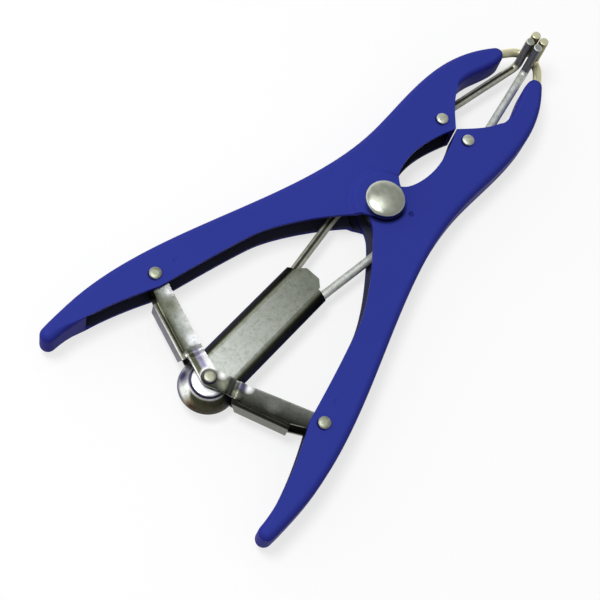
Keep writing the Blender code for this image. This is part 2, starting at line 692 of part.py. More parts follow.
def make_rod(side, axis):
    foot = (PRONG_X, PRONG_REACH - PRONG_PITCH)
    first = Vector((ROD_MIDDLE_X, ROD_BEND_START))
    second = Vector((ROD_MIDDLE_X, ROD_BEND_END))
    pin = Vector((0.0, -JOINT_Y))
    out = (first - pin).normalized()
    straight = (second - first).normalized()
    home = (Vector(foot) - second).normalized()
    half_bend = ROD_BEND_LENGTH / 2
    start = pin + out * (EYE_SHANK_LENGTH - 0.001)
    path = [start]
    path += [Vector(p) for p in bezier(first - out * half_bend, first - out * half_bend / 3,
                                       first + straight * half_bend / 3,
                                       first + straight * half_bend, 5)]
    path.append(first + straight * half_bend)
    path += [Vector(p) for p in bezier(second - straight * half_bend, second - straight * half_bend / 3,
                                       second + home * half_bend / 3, second + home * half_bend, 5)]
    path.append(second + home * half_bend)
    path = [Vector((p.x, p.y, ROD_LEVEL)) for p in path] + upright(foot, home, ROD_LEVEL)
    radii = [ROD_RADIUS] * (len(path) - 1) + [ROD_RADIUS - PRONG_CHAMFER]
    bar = swept(path, radii, 12)
    # The left eye is the upper half of the rod and the right eye the lower half, so that they lap.
    eye_low = ROD_LEVEL + SEAT_GAP / 2 if side < 0 else ROD_LEVEL - ROD_RADIUS
    eye_high = ROD_LEVEL + ROD_RADIUS if side < 0 else ROD_LEVEL - SEAT_GAP / 2
    across = Vector((out.y, -out.x)) * ROD_RADIUS
    end = pin + out * EYE_SHANK_LENGTH
    root = pin + out * 0.001
    shank = prism([tuple(root + across), tuple(root - across), tuple(end - across), tuple(end + across)],
                  eye_low, eye_high)
    eye = disc(EYE_RADIUS, eye_low, eye_high, 20, JOINT)
    hole = disc(SMALL_SHANK_RADIUS + SEAT_GAP, eye_low - 0.001, eye_high + 0.001, 16, JOINT)
    body = combined(bar, [("UNION", shank), ("UNION", eye), ("DIFFERENCE", hole)])
    name = "right_rod" if side > 0 else "left_rod"
    finish_object(name, mirrored(body, side), ROD_STEEL, axis)


def outer_prong_path():
    """From inside the jaw, along its web and out of its tip, then straight to the prong's foot."""
    web = [p for p in web_line() if WIRE_ROOT_BACK > JAW_REACH - p[1] > WIRE_LEAVES_BACK]
    inset = SHEET + SEAT_GAP + WIRE_RADIUS
    root = [(p[0] - inset, p[1] - 0.3 * inset) for p in reversed(web)]
    foot = Vector((PRONG_X, PRONG_REACH))
    mouth = Vector((JAW_TIP_X + WIRE_EXIT_X, JAW_REACH - 0.0012))
    ahead = Vector((-0.89, 0.46)).normalized()
    elbow = foot - ahead * ELBOW_RADIUS
    last = Vector(root[-1])
    reach = (mouth - last).length
    rise = (last - Vector(root[0])).normalized()
    leave = (elbow - mouth).normalized()
    free = (elbow - mouth).length
    bend = bezier(last, last + rise * 0.45 * reach, mouth - leave * 0.35 * reach, mouth, 4)
    run = bezier(mouth, mouth + leave * 0.5 * free, elbow - ahead * 0.25 * free, elbow, 4)
    path = root[:-1] + bend + run
    return [Vector((p[0], p[1], WIRE_LEVEL)) for p in path] + upright(foot, ahead, WIRE_LEVEL)


WIRE_POINTS = len(outer_prong_path())


def make_outer_prong(side, axis):
    radii = [WIRE_RADIUS] * (WIRE_POINTS - 1) + [WIRE_RADIUS - PRONG_CHAMFER]
    name = "right_outer_prong" if side > 0 else "left_outer_prong"
    finish_object(name, mirrored(swept(outer_prong_path(), radii, 12), side), PRONG_ZINC, axis)


def stand_on_origin(base):
    """Moves the tool so that the centre of its box's underside is the origin."""
    bpy.context.view_layer.update()
    corners = [obj.matrix_world @ Vector(corner)
               for obj in bpy.data.objects if obj.type == "MESH" for corner in obj.bound_box]
    low = [min(c[i] for c in corners) for i in range(3)]
    high = [max(c[i] for c in corners) for i in range(3)]
    base.location = (-(low[0] + high[0]) / 2, -(low[1] + high[1]) / 2, -low[2])


def main():
    clear_scene()
    base = empty("pliers")
    pivot = empty("main_pivot", base)
    slide = empty("slider_joint", base, JOINT)
    make_main_pivot(pivot)
    make_slider(slide)
    make_joint(slide)
    for word, side in (("left", -1), ("right", 1)):
        handle_axis = empty(word + "_handle_axis", pivot)
        make_handle(side, handle_axis)
        make_handle_rivets(side, handle_axis)
        make_outer_prong(side, handle_axis)
        link_axis = empty(word + "_link_axis", base, JOINT)
        make_link(side, link_axis)
        rod_axis = empty(word + "_rod_axis", base, JOINT)
        make_rod(side, rod_axis)
    stand_on_origin(base)


main()
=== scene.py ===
import math

import bmesh
import bpy
from mathutils import Matrix, Vector
from mathutils.geometry import interpolate_bezier


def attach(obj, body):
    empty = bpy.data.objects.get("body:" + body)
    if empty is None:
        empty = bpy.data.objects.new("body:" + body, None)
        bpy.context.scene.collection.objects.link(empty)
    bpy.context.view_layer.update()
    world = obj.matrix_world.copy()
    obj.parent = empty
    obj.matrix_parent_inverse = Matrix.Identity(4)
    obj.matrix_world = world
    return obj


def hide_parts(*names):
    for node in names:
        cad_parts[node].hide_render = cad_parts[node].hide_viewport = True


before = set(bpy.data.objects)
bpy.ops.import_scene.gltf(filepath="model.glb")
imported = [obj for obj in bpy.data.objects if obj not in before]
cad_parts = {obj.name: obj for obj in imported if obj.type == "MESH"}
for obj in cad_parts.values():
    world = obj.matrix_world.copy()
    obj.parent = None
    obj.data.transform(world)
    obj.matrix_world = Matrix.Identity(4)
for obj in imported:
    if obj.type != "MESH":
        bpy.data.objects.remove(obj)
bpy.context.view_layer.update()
print("frame loaded")

# pieces are drawn in millimetres from the main pivot or the joint, with z 0 at half the handles' height
pivot = Vector((0.0, 0.0167808, 0.01115))
joint = Vector((0.0, -0.0907792, 0.01115))
pivotToJoint = 107.56


# camera at the photo's view

cameraView = {
    "place": (0.08969, -0.27850, 0.56012),
    "right": (0.74601, 0.64538, 0.16415),
    "up": (-0.65028, 0.65287, 0.38846),
    "back": (0.14353, -0.39654, 0.90673),
    "lens": 90.0,
}


def makeCamera(view):
    data = bpy.data.cameras.new("photoCamera")
    data.lens = view["lens"]
    data.sensor_width = 36.0
    data.clip_start = 0.01
    data.clip_end = 20.0
    camera = bpy.data.objects.new("photoCamera", data)
    bpy.context.collection.objects.link(camera)
    axes = Matrix((view["right"], view["up"], view["back"])).transposed()
    camera.matrix_world = Matrix.Translation(view["place"]) @ axes.to_4x4()
    bpy.context.scene.camera = camera


makeCamera(cameraView)


# shader node groups

def newGroup(name, inputs, outputs):
    group = bpy.data.node_groups.new(name, "ShaderNodeTree")
    for label, value in inputs:
        socket = group.interface.new_socket(label, in_out="INPUT", socket_type="NodeSocketFloat")
        socket.default_value = value
    for label in outputs:
        group.interface.new_socket(label, in_out="OUTPUT", socket_type="NodeSocketFloat")
    enter, leave = group.nodes.new("NodeGroupInput"), group.nodes.new("NodeGroupOutput")
    return group, group.nodes, group.links, enter, leave


# fine noise for bump, and a slow tone for colour and roughness; sizes in millimetres
def makeSurfaceGrain():
    group, nodes, links, enter, leave = newGroup(
        "surfaceGrain", [("Grain Size", 0.4), ("Patch Size", 12.0)], ["Grain", "Patch"])
    place = nodes.new("ShaderNodeTexCoord")
    for label, sizeName, detail in (("Grain", "Grain Size", 3.0), ("Patch", "Patch Size", 2.5)):
        scale = nodes.new("ShaderNodeMath")
        scale.operation = "DIVIDE"
        scale.inputs[0].default_value = 1000.0
        links.new(enter.outputs[sizeName], scale.inputs[1])
        noise = nodes.new("ShaderNodeTexNoise")
        noise.inputs["Detail"].default_value = detail
        links.new(place.outputs["Object"], noise.inputs["Vector"])
        links.new(scale.outputs[0], noise.inputs["Scale"])
        links.new(noise.outputs["Fac"], leave.inputs[label])
    return group


# 0 on faces that look down, 0.5 on walls and 1 on faces that look up; the finishes paint light and shade by
# it
def makeFacing():
    group, nodes, links, enter, leave = newGroup("facing", [], ["Facing"])
    place = nodes.new("ShaderNodeTexCoord")
    split = nodes.new("ShaderNodeSeparateXYZ")
    links.new(place.outputs["Normal"], split.inputs[0])
    span = nodes.new("ShaderNodeMapRange")
    span.inputs["From Min"].default_value = -1.0
    links.new(split.outputs["Z"], span.inputs["Value"])
    links.new(span.outputs["Result"], leave.inputs["Facing"])
    return group


speckleShape = {"detail": 6.0, "roughness": 0.65, "edge": 0.72, "contrast": 5.0}


# small dark pits and stains, more of them as Amount rises
def makeSpeckle():
    group, nodes, links, enter, leave = newGroup("speckle", [("Size", 1.2), ("Amount", 0.4)], ["Speckle"])
    place = nodes.new("ShaderNodeTexCoord")
    scale = nodes.new("ShaderNodeMath")
    scale.operation = "DIVIDE"
    scale.inputs[0].default_value = 1000.0
    links.new(enter.outputs["Size"], scale.inputs[1])
    noise = nodes.new("ShaderNodeTexNoise")
    noise.inputs["Detail"].default_value = speckleShape["detail"]
    noise.inputs["Roughness"].default_value = speckleShape["roughness"]
    links.new(place.outputs["Object"], noise.inputs["Vector"])
    links.new(scale.outputs[0], noise.inputs["Scale"])
    edge = nodes.new("ShaderNodeMath")
    edge.operation = "SUBTRACT"
    edge.inputs[0].default_value = speckleShape["edge"]
    links.new(enter.outputs["Amount"], edge.inputs[1])
    over = nodes.new("ShaderNodeMath")
    over.operation = "SUBTRACT"
    links.new(noise.outputs["Fac"], over.inputs[0])
    links.new(edge.outputs[0], over.inputs[1])
    firm = nodes.new("ShaderNodeMath")
    firm.operation = "MULTIPLY"
    firm.use_clamp = True
    firm.inputs[1].default_value = speckleShape["contrast"]
    links.new(over.outputs[0], firm.inputs[0])
    links.new(firm.outputs[0], leave.inputs["Speckle"])
    return group


surfaceGrain = makeSurfaceGrain()
facing = makeFacing()
speckle = makeSpeckle()


def addGroup(nodes, group, **values):
    node = nodes.new("ShaderNodeGroup")
    node.node_tree = group
    for label, value in values.items():
        node.inputs[label.replace("_", " ")].default_value = value
    return node


def remap(nodes, links, source, low, high, fromLow=0.0, fromHigh=1.0):
    node = nodes.new("ShaderNodeMapRange")
    node.inputs["From Min"].default_value = fromLow
    node.inputs["From Max"].default_value = fromHigh
    node.inputs["To Min"].default_value = low
    node.inputs["To Max"].default_value = high
    links.new(source, node.inputs["Value"])
    return node.outputs["Result"]


def multiply(nodes, links, source, factor):
    node = nodes.new("ShaderNodeMath")
    node.operation = "MULTIPLY"
    links.new(source, node.inputs[0])
    if isinstance(factor, float):
        node.inputs[1].default_value = factor
    else:
        links.new(factor, node.inputs[1])
    return node.outputs[0]


def mixColour(nodes, links, factor, first, second):
    node = nodes.new("ShaderNodeMix")
    node.data_type = "RGBA"
    links.new(factor, node.inputs["Factor"])
    for socket, value in ((node.inputs["A"], first), (node.inputs["B"], second)):
        if isinstance(value, tuple):
            socket.default_value = (*value, 1.0)
        else:
            links.new(value, socket)
    return node.outputs["Result"]


def bumpFrom(nodes, links, height, strength, distance):
    node = nodes.new("ShaderNodeBump")
    node.inputs["Strength"].default_value = strength
    node.inputs["Distance"].default_value = distance
    links.new(height, node.inputs["Height"])
    return node.outputs["Normal"]


# 1 at a place on the piece and fading to 0 at a distance, in millimetres from the joint or pivot
def spotMask(nodes, links, centre, near, far):
    place = nodes.new("ShaderNodeTexCoord")
    away = nodes.new("ShaderNodeVectorMath")
    away.operation = "DISTANCE"
    links.new(place.outputs["Object"], away.inputs[0])
    away.inputs[1].default_value = centre
    return remap(nodes, links, away.outputs["Value"], 1.0, 0.0, near * 0.001, far * 0.001)


# a colour at each place along a value from 0 to 1
def toneRamp(nodes, links, source, tones):
    ramp = nodes.new("ShaderNodeValToRGB")
    stops = ramp.color_ramp.elements
    while len(stops) < len(tones):
        stops.new(0.5)
    for stop, (place, colour) in zip(stops, tones):
        stop.position = place
        stop.color = (*colour, 1.0)
    links.new(source, ramp.inputs["Fac"])
    return ramp.outputs["Color"]


def tint(nodes, links, colour, mask, by):
    node = nodes.new("ShaderNodeMix")
    node.data_type = "RGBA"
    node.blend_type = "MULTIPLY"
    links.new(mask, node.inputs["Factor"])
    links.new(colour, node.inputs["A"])
    node.inputs["B"].default_value = (*by, 1.0)
    return node.outputs["Result"]


# how far a point lies along a direction from the joint or the pivot, in millimetres
def alongFrom(nodes, links, centre, direction):
    place = nodes.new("ShaderNodeTexCoord")
    offset = nodes.new("ShaderNodeVectorMath")
    offset.operation = "SUBTRACT"
    links.new(place.outputs["Object"], offset.inputs[0])
    offset.inputs[1].default_value = centre
    along = nodes.new("ShaderNodeVectorMath")
    along.operation = "DOT_PRODUCT"
    links.new(offset.outputs["Vector"], along.inputs[0])
    along.inputs[1].default_value = [1000.0 * part for part in direction]
    return along.outputs["Value"]


finishes = {
    "blueCoat": {
        # the blue is painted a little darker on walls and darker still on faces that look down: painted shade
        "tones": [(0.0, (0.020, 0.022, 0.17)), (0.5, (0.021, 0.022, 0.30)), (0.72, (0.026, 0.030, 0.30)),
                  (0.93, (0.029, 0.041, 0.305)), (1.0, (0.031, 0.045, 0.318))],
        "metallic": 0.0, "specular": 0.04, "roughness": (0.46, 0.54),
        "grain": 0.5, "patch": 26.0, "bump": 0.03,
        "blotch": (0.5, (0.90, 0.90, 0.93))},
    # the channels' inside: the same blue painted near-black navy, as painted shade
    "blueInShade": {
        "tones": [(0.0, (0.030, 0.032, 0.050)), (0.5, (0.040, 0.043, 0.070)), (1.0, (0.056, 0.060, 0.105))],
        "metallic": 0.0, "specular": 0.03, "roughness": (0.6, 0.7), "grain": 0.6, "patch": 14.0, "bump": 0.05,
        "blotch": (0.5, (0.7, 0.7, 0.7))},
    "rivetZinc": {
        # slightly lighter on the dome's slope and darker on its side: painted sheen and shade
        "tones": [(0.5, (0.60, 0.62, 0.55)), (0.88, (0.66, 0.69, 0.61)), (1.0, (0.62, 0.66, 0.56))],
        "metallic": 1.0, "specular": 0.5, "roughness": (0.28, 0.36), "grain": 0.9, "patch": 2.4, "bump": 0.02,
        "blotch": (0.7, (0.82, 0.83, 0.78))},
    "smallRivetZinc": {
        # a bright ring on the dome's slope and darker sides, as painted highlight and shade; this copy for
        # the jaw rivets is painted lighter than the link rivets' copy, for the light where each sits
        "tones": [(0.5, (0.46, 0.47, 0.42)), (0.8, (0.90, 0.92, 0.86)), (0.95, (0.74, 0.77, 0.68)),
                  (1.0, (0.72, 0.76, 0.66))],
        "metallic": 1.0, "specular": 0.5, "roughness": (0.42, 0.52), "grain": 0.6, "patch": 1.4, "bump": 0.08,
        "blotch": (0.8, (0.78, 0.80, 0.70)), "speckle": 0.18},
    "linkRivetZinc": {
        # the link rivets' copy of the same zinc, painted darker as painted shade, with the same painted
        # highlight ring
        "tones": [(0.5, (0.34, 0.35, 0.30)), (0.8, (0.66, 0.68, 0.62)), (0.95, (0.42, 0.44, 0.37)),
                  (1.0, (0.40, 0.43, 0.35))],
        "metallic": 1.0, "specular": 0.5, "roughness": (0.42, 0.52), "grain": 0.6, "patch": 1.4, "bump": 0.08,
        "blotch": (0.8, (0.74, 0.76, 0.64)), "speckle": 0.20},
    "jointRivetZinc": {
        # violet-dark sides as painted shade with the blue handles reflected in it, and a light top and rim as
        # painted light
        "tones": [(0.5, (0.10, 0.09, 0.18)), (0.92, (0.14, 0.12, 0.24)), (0.965, (0.34, 0.35, 0.28)),
                  (1.0, (0.42, 0.43, 0.34))],
        "metallic": 1.0, "specular": 0.5, "roughness": (0.38, 0.50), "grain": 0.6, "patch": 1.4, "bump": 0.10,
        "blotch": (0.8, (0.78, 0.79, 0.66))},
    "leftLinkSteel": {
        # painted reflections: a white band at the bend as painted highlight, a violet-dark web as painted
        # shade, a ramp across the flat top, spots of highlight and dark reflection, and streaks on the tongue
        "tones": [(0.0, (0.05, 0.05, 0.06)), (0.5, (0.085, 0.08, 0.125)), (0.60, (0.12, 0.115, 0.17)),
                  (0.65, (0.98, 0.98, 0.98)), (0.77, (0.98, 0.98, 0.95)), (0.82, (0.30, 0.31, 0.23)),
                  (0.90, (0.10, 0.105, 0.075))],
        "across": [(0.0, (0.66, 0.68, 0.66)), (0.25, (0.52, 0.54, 0.53)), (0.55, (0.32, 0.34, 0.32)),
                   (0.82, (0.12, 0.13, 0.09)), (0.95, (0.03, 0.03, 0.022))],
        "rear": (-0.3531, -0.9356, 0.0),
        "spots": [((-15.6, 7.6, 6.0), 0.6, 3.4, (0.84, 0.85, 0.90)),
                  ((-35.6, 15.6, 6.0), 0.8, 2.6, (0.90, 0.90, 0.94)),
                  ((-31.5, 11.5, 6.0), 1.0, 6.0, (0.17, 0.18, 0.13)),
                  ((-0.6, 0.9, 5.0), 3.2, 4.4, (0.95, 0.95, 0.95))],
        "tongue": [(0.0, (0.88, 0.88, 0.90)), (0.20, (0.80, 0.80, 0.84)), (0.34, (0.30, 0.28, 0.46)),
                   (0.52, (0.34, 0.33, 0.42)), (0.62, (0.10, 0.105, 0.06)), (0.80, (0.12, 0.125, 0.08)),
                   (0.86, (0.90, 0.90, 0.86))],
        "metallic": 1.0, "specular": 0.5, "roughness": (0.30, 0.40), "grain": 0.7, "patch": 2.6, "bump": 0.07,
        "blotch": (0.6, (0.66, 0.67, 0.62)), "speckle": 0.20},
    "rightLinkSteel": {
        # painted reflections: a near-black web and bend as painted shade, a ramp across the flat top from
        # light at the front edge to near-black, and spots of highlight, violet and dark reflection
        "tones": [(0.0, (0.12, 0.12, 0.10)), (0.52, (0.15, 0.155, 0.13)), (0.56, (0.012, 0.012, 0.010)),
                  (0.72, (0.014, 0.014, 0.011)), (0.88, (0.050, 0.052, 0.044)), (0.92, (0.24, 0.25, 0.21))],
        "across": [(0.0, (0.34, 0.36, 0.34)), (0.10, (0.15, 0.155, 0.145)), (0.45, (0.085, 0.09, 0.08)),
                   (0.75, (0.045, 0.048, 0.040)), (0.95, (0.018, 0.018, 0.014))],
        "rear": (0.3531, -0.9356, 0.0),
        "spots": [((13.8, 7.6, 6.0), 0.8, 2.7, (0.85, 0.85, 0.88)),
                  ((12.0, 6.2, 6.0), 0.6, 2.2, (0.26, 0.24, 0.42)),
                  ((12.2, 2.4, 6.0), 0.5, 2.4, (0.40, 0.42, 0.33)),
                  ((6.0, 1.5, 6.0), 0.5, 3.2, (0.24, 0.25, 0.19)),
                  ((3.0, 4.2, 6.0), 0.8, 2.6, (0.85, 0.86, 0.84)),
                  ((25.0, 9.6, 6.0), 1.0, 4.5, (0.14, 0.145, 0.135))],
        "metallic": 1.0, "specular": 0.5, "roughness": (0.30, 0.40), "grain": 0.7, "patch": 2.6, "bump": 0.07,
        "blotch": (0.6, (0.64, 0.65, 0.60)), "speckle": 0.20},
    "leftRodSteel": {
        # painted light and shade: a dark underside, a light band, and a black line along the top as painted
        # reflection; the pale prong end is a painted highlight
        "tones": [(0.0, (0.05, 0.05, 0.05)), (0.47, (0.14, 0.14, 0.17)), (0.60, (0.20, 0.20, 0.17)),
                  (0.72, (0.66, 0.67, 0.54)), (0.93, (0.86, 0.86, 0.72)), (0.975, (0.36, 0.36, 0.30)),
                  (0.990, (0.035, 0.035, 0.035))],
        "topAbove": (8.0, 10.0, (0.42, 0.45, 0.43)),
        "metallic": 0.6, "specular": 0.5, "roughness": (0.40, 0.50), "grain": 0.5, "patch": 2.0, "bump": 0.06,
        "blotch": (0.7, (0.70, 0.70, 0.58)), "speckle": 0.14},
    "rightRodSteel": {
        # the right rod's copy of the same steel, painted lighter: a wide painted highlight over a dark
        # underside; the pale prong end is a painted highlight
        "tones": [(0.0, (0.05, 0.05, 0.05)), (0.47, (0.14, 0.14, 0.18)), (0.58, (0.17, 0.17, 0.20)),
                  (0.66, (0.62, 0.66, 0.62)), (0.85, (0.94, 0.97, 0.93)), (1.0, (0.88, 0.91, 0.88))],
        "topAbove": (8.0, 10.0, (0.42, 0.45, 0.43)),
        "metallic": 0.6, "specular": 0.5, "roughness": (0.44, 0.54), "grain": 0.5, "patch": 2.0, "bump": 0.08,
        "blotch": (0.8, (0.70, 0.72, 0.66)), "speckle": 0.12},
    "sliderZinc": {
        # painted light and shade: navy walls as painted shade with the blue handles reflected, a dark crease,
        # a bright shoulder band as painted highlight and a lighter roof
        "tones": [(0.0, (0.02, 0.02, 0.03)), (0.50, (0.026, 0.022, 0.10)), (0.80, (0.034, 0.032, 0.150)),
                  (0.845, (0.055, 0.054, 0.080)), (0.88, (0.08, 0.085, 0.05)), (0.93, (0.34, 0.36, 0.25)),
                  (0.965, (0.74, 0.77, 0.62)), (0.993, (0.60, 0.63, 0.60))],
        "metallic": 1.0, "specular": 0.5, "roughness": (0.36, 0.46),
        "grain": 0.45, "patch": 2.2, "bump": 0.13,
        "blotch": (0.6, (0.72, 0.74, 0.69)), "speckle": 0.22},
    "yellowZinc": {
        # the wire's lit top and dark underside: painted highlight and shade
        "tones": [(0.0, (0.12, 0.10, 0.04)), (0.48, (0.16, 0.14, 0.05)), (0.60, (0.46, 0.41, 0.18)),
                  (0.70, (1.0, 0.97, 0.66)), (0.92, (1.0, 0.95, 0.62)), (1.0, (1.0, 0.98, 0.72))],
        "metallic": 0.75, "specular": 0.5, "roughness": (0.30, 0.40),
        "grain": 1.2, "patch": 3.0, "bump": 0.01,
        "blotch": (0.35, (0.80, 0.76, 0.56))},
}
acrossSpan = (-3.4, 4.4)  # from a link's front edge to the start of its bend
tongueArea = {"centre": (0.0, 0.0, 6.0), "near": 12.0, "far": 14.8}
linkTop = (0.89, 0.95)  # how far a face has to look up to count as a link's flat top
prongEnd = (0.85, 0.95)
patchSpan = (0.3, 0.7)
roughSpan = (0.35, 0.65)
bumpDepth = 0.0004
speckleLook = {"size": 1.3, "tint": (0.70, 0.70, 0.66)}
cupArea = {"radius": 11.8, "blend": 1.5}
# painted shade: the tray is painted darker towards its front, where less light falls
sliderFrontShade = {"start": 4.0, "end": 58.0, "tint": (0.40, 0.41, 0.36)}
# bright rims as painted highlight, a dark crease line and dark walls as painted shade
cupRings = [(0.0, (0.80, 0.82, 0.82)), (0.57, (0.86, 0.87, 0.88)), (0.59, (0.04, 0.035, 0.09)),
            (0.645, (0.05, 0.045, 0.10)), (0.665, (0.85, 0.86, 0.86)), (0.69, (0.80, 0.81, 0.78)),
            (0.72, (0.10, 0.10, 0.06)), (1.0, (0.045, 0.04, 0.028))]
# a painted glint on the cup's left, with violet painted reflection and a dark rim
cupGlint = [(0.0, (0.86, 0.88, 0.86)), (0.58, (0.90, 0.90, 0.92)), (0.61, (0.12, 0.10, 0.20)),
            (0.66, (0.16, 0.14, 0.26)), (0.70, (0.95, 0.96, 0.97)), (0.93, (0.93, 0.96, 0.92)),
            (0.985, (0.13, 0.12, 0.18))]
glintSide = {"toward": (-0.756, -0.654, 0.0), "from": 6.6, "full": 7.8}
# the first mark is a violet patch of painted shade under the link, the blue handles reflected in it; the
# other two are real rust
cupRustAndShade = [{"centre": (-9.4, -5.0, 0.3), "near": 1.2, "far": 5.0, "colour": (0.07, 0.055, 0.17)},
             {"centre": (-0.6, -10.6, -1.2), "near": 0.6, "far": 3.2, "colour": (0.34, 0.28, 0.17)},
             {"centre": (1.1, -11.2, -1.9), "near": 0.6, "far": 2.8, "colour": (0.060, 0.030, 0.014)}]
edgeShades = [{"centre": (0.0, 0.0, 5.5), "near": 9.6, "far": 11.0, "toward": (0.7071, -0.7071, 0.0),
               "from": 2.0, "full": 6.0, "tint": (0.12, 0.12, 0.14)}]
edgeShades += [{"centre": (x, y, 7.6), "near": 2.9, "far": 3.3, "toward": (-0.20, -0.98, 0.0), "from": 0.8,
                "full": 2.0, "tint": (0.20, 0.20, 0.26)}
               for x, y in ((7.26, 48.7), (-7.26, 48.7), (44.54, -90.75), (-44.54, -90.75))]
pitShade = {"place": (11.8, 3.8, 7.5), "near": 0.5, "far": 1.5, "tint": (0.55, 0.55, 0.55)}


# the cup's rings of painted highlight and shade, a painted glint on its left, its rust, and a violet patch of
# painted shade
def cupTones(nodes, links, colour):
    away = nodes.new("ShaderNodeVectorMath")
    away.operation = "LENGTH"
    flat = nodes.new("ShaderNodeCombineXYZ")
    across = alongFrom(nodes, links, joint, (1, 0, 0))
    ahead = alongFrom(nodes, links, joint, (0, 1, 0))
    links.new(across, flat.inputs["X"])
    links.new(ahead, flat.inputs["Y"])
    links.new(flat.outputs["Vector"], away.inputs[0])
    radius = remap(nodes, links, away.outputs["Value"], 0.0, 1.0, 0.0, cupArea["radius"])
    rings = toneRamp(nodes, links, radius, cupRings)
    glint = toneRamp(nodes, links, radius, cupGlint)
    side = alongFrom(nodes, links, joint, glintSide["toward"])
    side = remap(nodes, links, side, 0.0, 1.0, glintSide["from"], glintSide["full"])
    rings = mixColour(nodes, links, side, rings, glint)
    behind = remap(nodes, links, ahead, 1.0, 0.0, -cupArea["blend"], cupArea["blend"])
    colour = mixColour(nodes, links, behind, colour, rings)
    for cupMark in cupRustAndShade:
        mask = spotMask(nodes, links, joint + Vector(cupMark["centre"]) * 0.001, cupMark["near"], cupMark["far"])
        colour = mixColour(nodes, links, mask, colour, cupMark["colour"])
    return colour


# dark under the edge of the upper ear, beside the rivets and in the pit
def pressedShade(nodes, links, colour):
    for shade in edgeShades:
        centre = pivot + Vector(shade["centre"]) * 0.001
        near = spotMask(nodes, links, centre, shade["near"], shade["far"])
        toward = alongFrom(nodes, links, centre, shade["toward"])
        lower = remap(nodes, links, toward, 0.0, 1.0, shade["from"], shade["full"])
        colour = tint(nodes, links, colour, multiply(nodes, links, near, lower), shade["tint"])
    pit = pivot + Vector(pitShade["place"]) * 0.001
    mask = spotMask(nodes, links, pit, pitShade["near"], pitShade["far"])
    return tint(nodes, links, colour, mask, pitShade["tint"])


def makeFinish(name):
    look = finishes[name]
    material = bpy.data.materials.new(name)
    material.use_nodes = True
    nodes, links = material.node_tree.nodes, material.node_tree.links
    shader = nodes["Principled BSDF"]
    shader.inputs["Metallic"].default_value = look["metallic"]
    shader.inputs["Specular IOR Level"].default_value = look["specular"]
    grain = addGroup(nodes, surfaceGrain, Grain_Size=look["grain"], Patch_Size=look["patch"])
    patch = remap(nodes, links, grain.outputs["Patch"], 0.0, 1.0, *patchSpan)
    up = addGroup(nodes, facing).outputs["Facing"]
    # colour by which way a face looks: each finish's painted light, shade and reflected bands
    colour = toneRamp(nodes, links, up, look["tones"])
    # on a link's flat top: a painted reflection across the flat, painted reflected streaks on the left
    # tongue, and spots of painted highlight and dark reflection
    if "across" in look:
        across = alongFrom(nodes, links, joint, look["rear"])
        share = remap(nodes, links, across, 0.0, 1.0, *acrossSpan)
        flat = toneRamp(nodes, links, share, look["across"])
        if "tongue" in look:
            streaks = toneRamp(nodes, links, share, look["tongue"])
            centre = joint + Vector(tongueArea["centre"]) * 0.001
            mask = spotMask(nodes, links, centre, tongueArea["near"], tongueArea["far"])
            flat = mixColour(nodes, links, mask, flat, streaks)
        for centre, near, far, shine in look["spots"]:
            mask = spotMask(nodes, links, joint + Vector(centre) * 0.001, near, far)
            flat = mixColour(nodes, links, mask, flat, shine)
        colour = mixColour(nodes, links, remap(nodes, links, up, 0.0, 1.0, *linkTop), colour, flat)
    # a painted highlight: the flat end of an upright prong painted pale
    if "topAbove" in look:  # the flat end of an upright prong
        start, full, shine = look["topAbove"]
        high = remap(nodes, links, alongFrom(nodes, links, joint, (0, 0, 1)), 0.0, 1.0, start, full)
        flat = remap(nodes, links, up, 0.0, 1.0, *prongEnd)
        colour = mixColour(nodes, links, multiply(nodes, links, high, flat), colour, shine)
    if name == "blueCoat":
        colour = pressedShade(nodes, links, colour)
    if name == "sliderZinc":
        # painted shade darkening the tray towards its front
        ahead = alongFrom(nodes, links, joint, (0, 1, 0))
        frontShade = remap(nodes, links, ahead, 0.0, 1.0, sliderFrontShade["start"], sliderFrontShade["end"])
        colour = tint(nodes, links, colour, frontShade, sliderFrontShade["tint"])
        colour = cupTones(nodes, links, colour)
    depth, by = look["blotch"]
    colour = tint(nodes, links, colour, multiply(nodes, links, patch, depth), by)
    if "speckle" in look:
        spots = addGroup(nodes, speckle, Size=speckleLook["size"], Amount=look["speckle"])
        colour = tint(nodes, links, colour, spots.outputs["Speckle"], speckleLook["tint"])
    links.new(colour, shader.inputs["Base Color"])
    smoothest, roughest = look["roughness"]
    rough = remap(nodes, links, grain.outputs["Patch"], roughest, smoothest, *roughSpan)
    links.new(rough, shader.inputs["Roughness"])
    normal = bumpFrom(nodes, links, grain.outputs["Grain"], look["bump"], bumpDepth)
    links.new(normal, shader.inputs["Normal"])
    return material


materials = {name: makeFinish(name) for name in finishes}
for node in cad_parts.values():
    node.data.materials.clear()
    node.data.materials.append(materials["rivetZinc"])
print("materials made")


# tools for the pieces

def planPoints(spans):
    points = []
    for kind, *values in spans:
        count = values[-1]
        if kind == "curve":
            corners = [Vector((x, y, 0.0)) for x, y in values[:4]]
            points += [(p.x, p.y) for p in interpolate_bezier(*corners, count + 1)[:-1]]
        else:
            centre, radius, start, end = values[:4]
            for i in range(count):
                turn = math.radians(start + (end - start) * i / count)
                points.append((centre[0] + radius * math.cos(turn), centre[1] + radius * math.sin(turn)))
    return points


def smooth(value):
    value = min(max(value, 0.0), 1.0)
    return value * value * (3 - 2 * value)


def looseMesh(name, work):
    mesh = bpy.data.meshes.new(name)
    work.to_mesh(mesh)
    work.free()
    made = bpy.data.objects.new(name, mesh)
    bpy.context.collection.objects.link(made)
    return made


def newCorners(made):
    return [part for part in made if isinstance(part, bmesh.types.BMVert)]


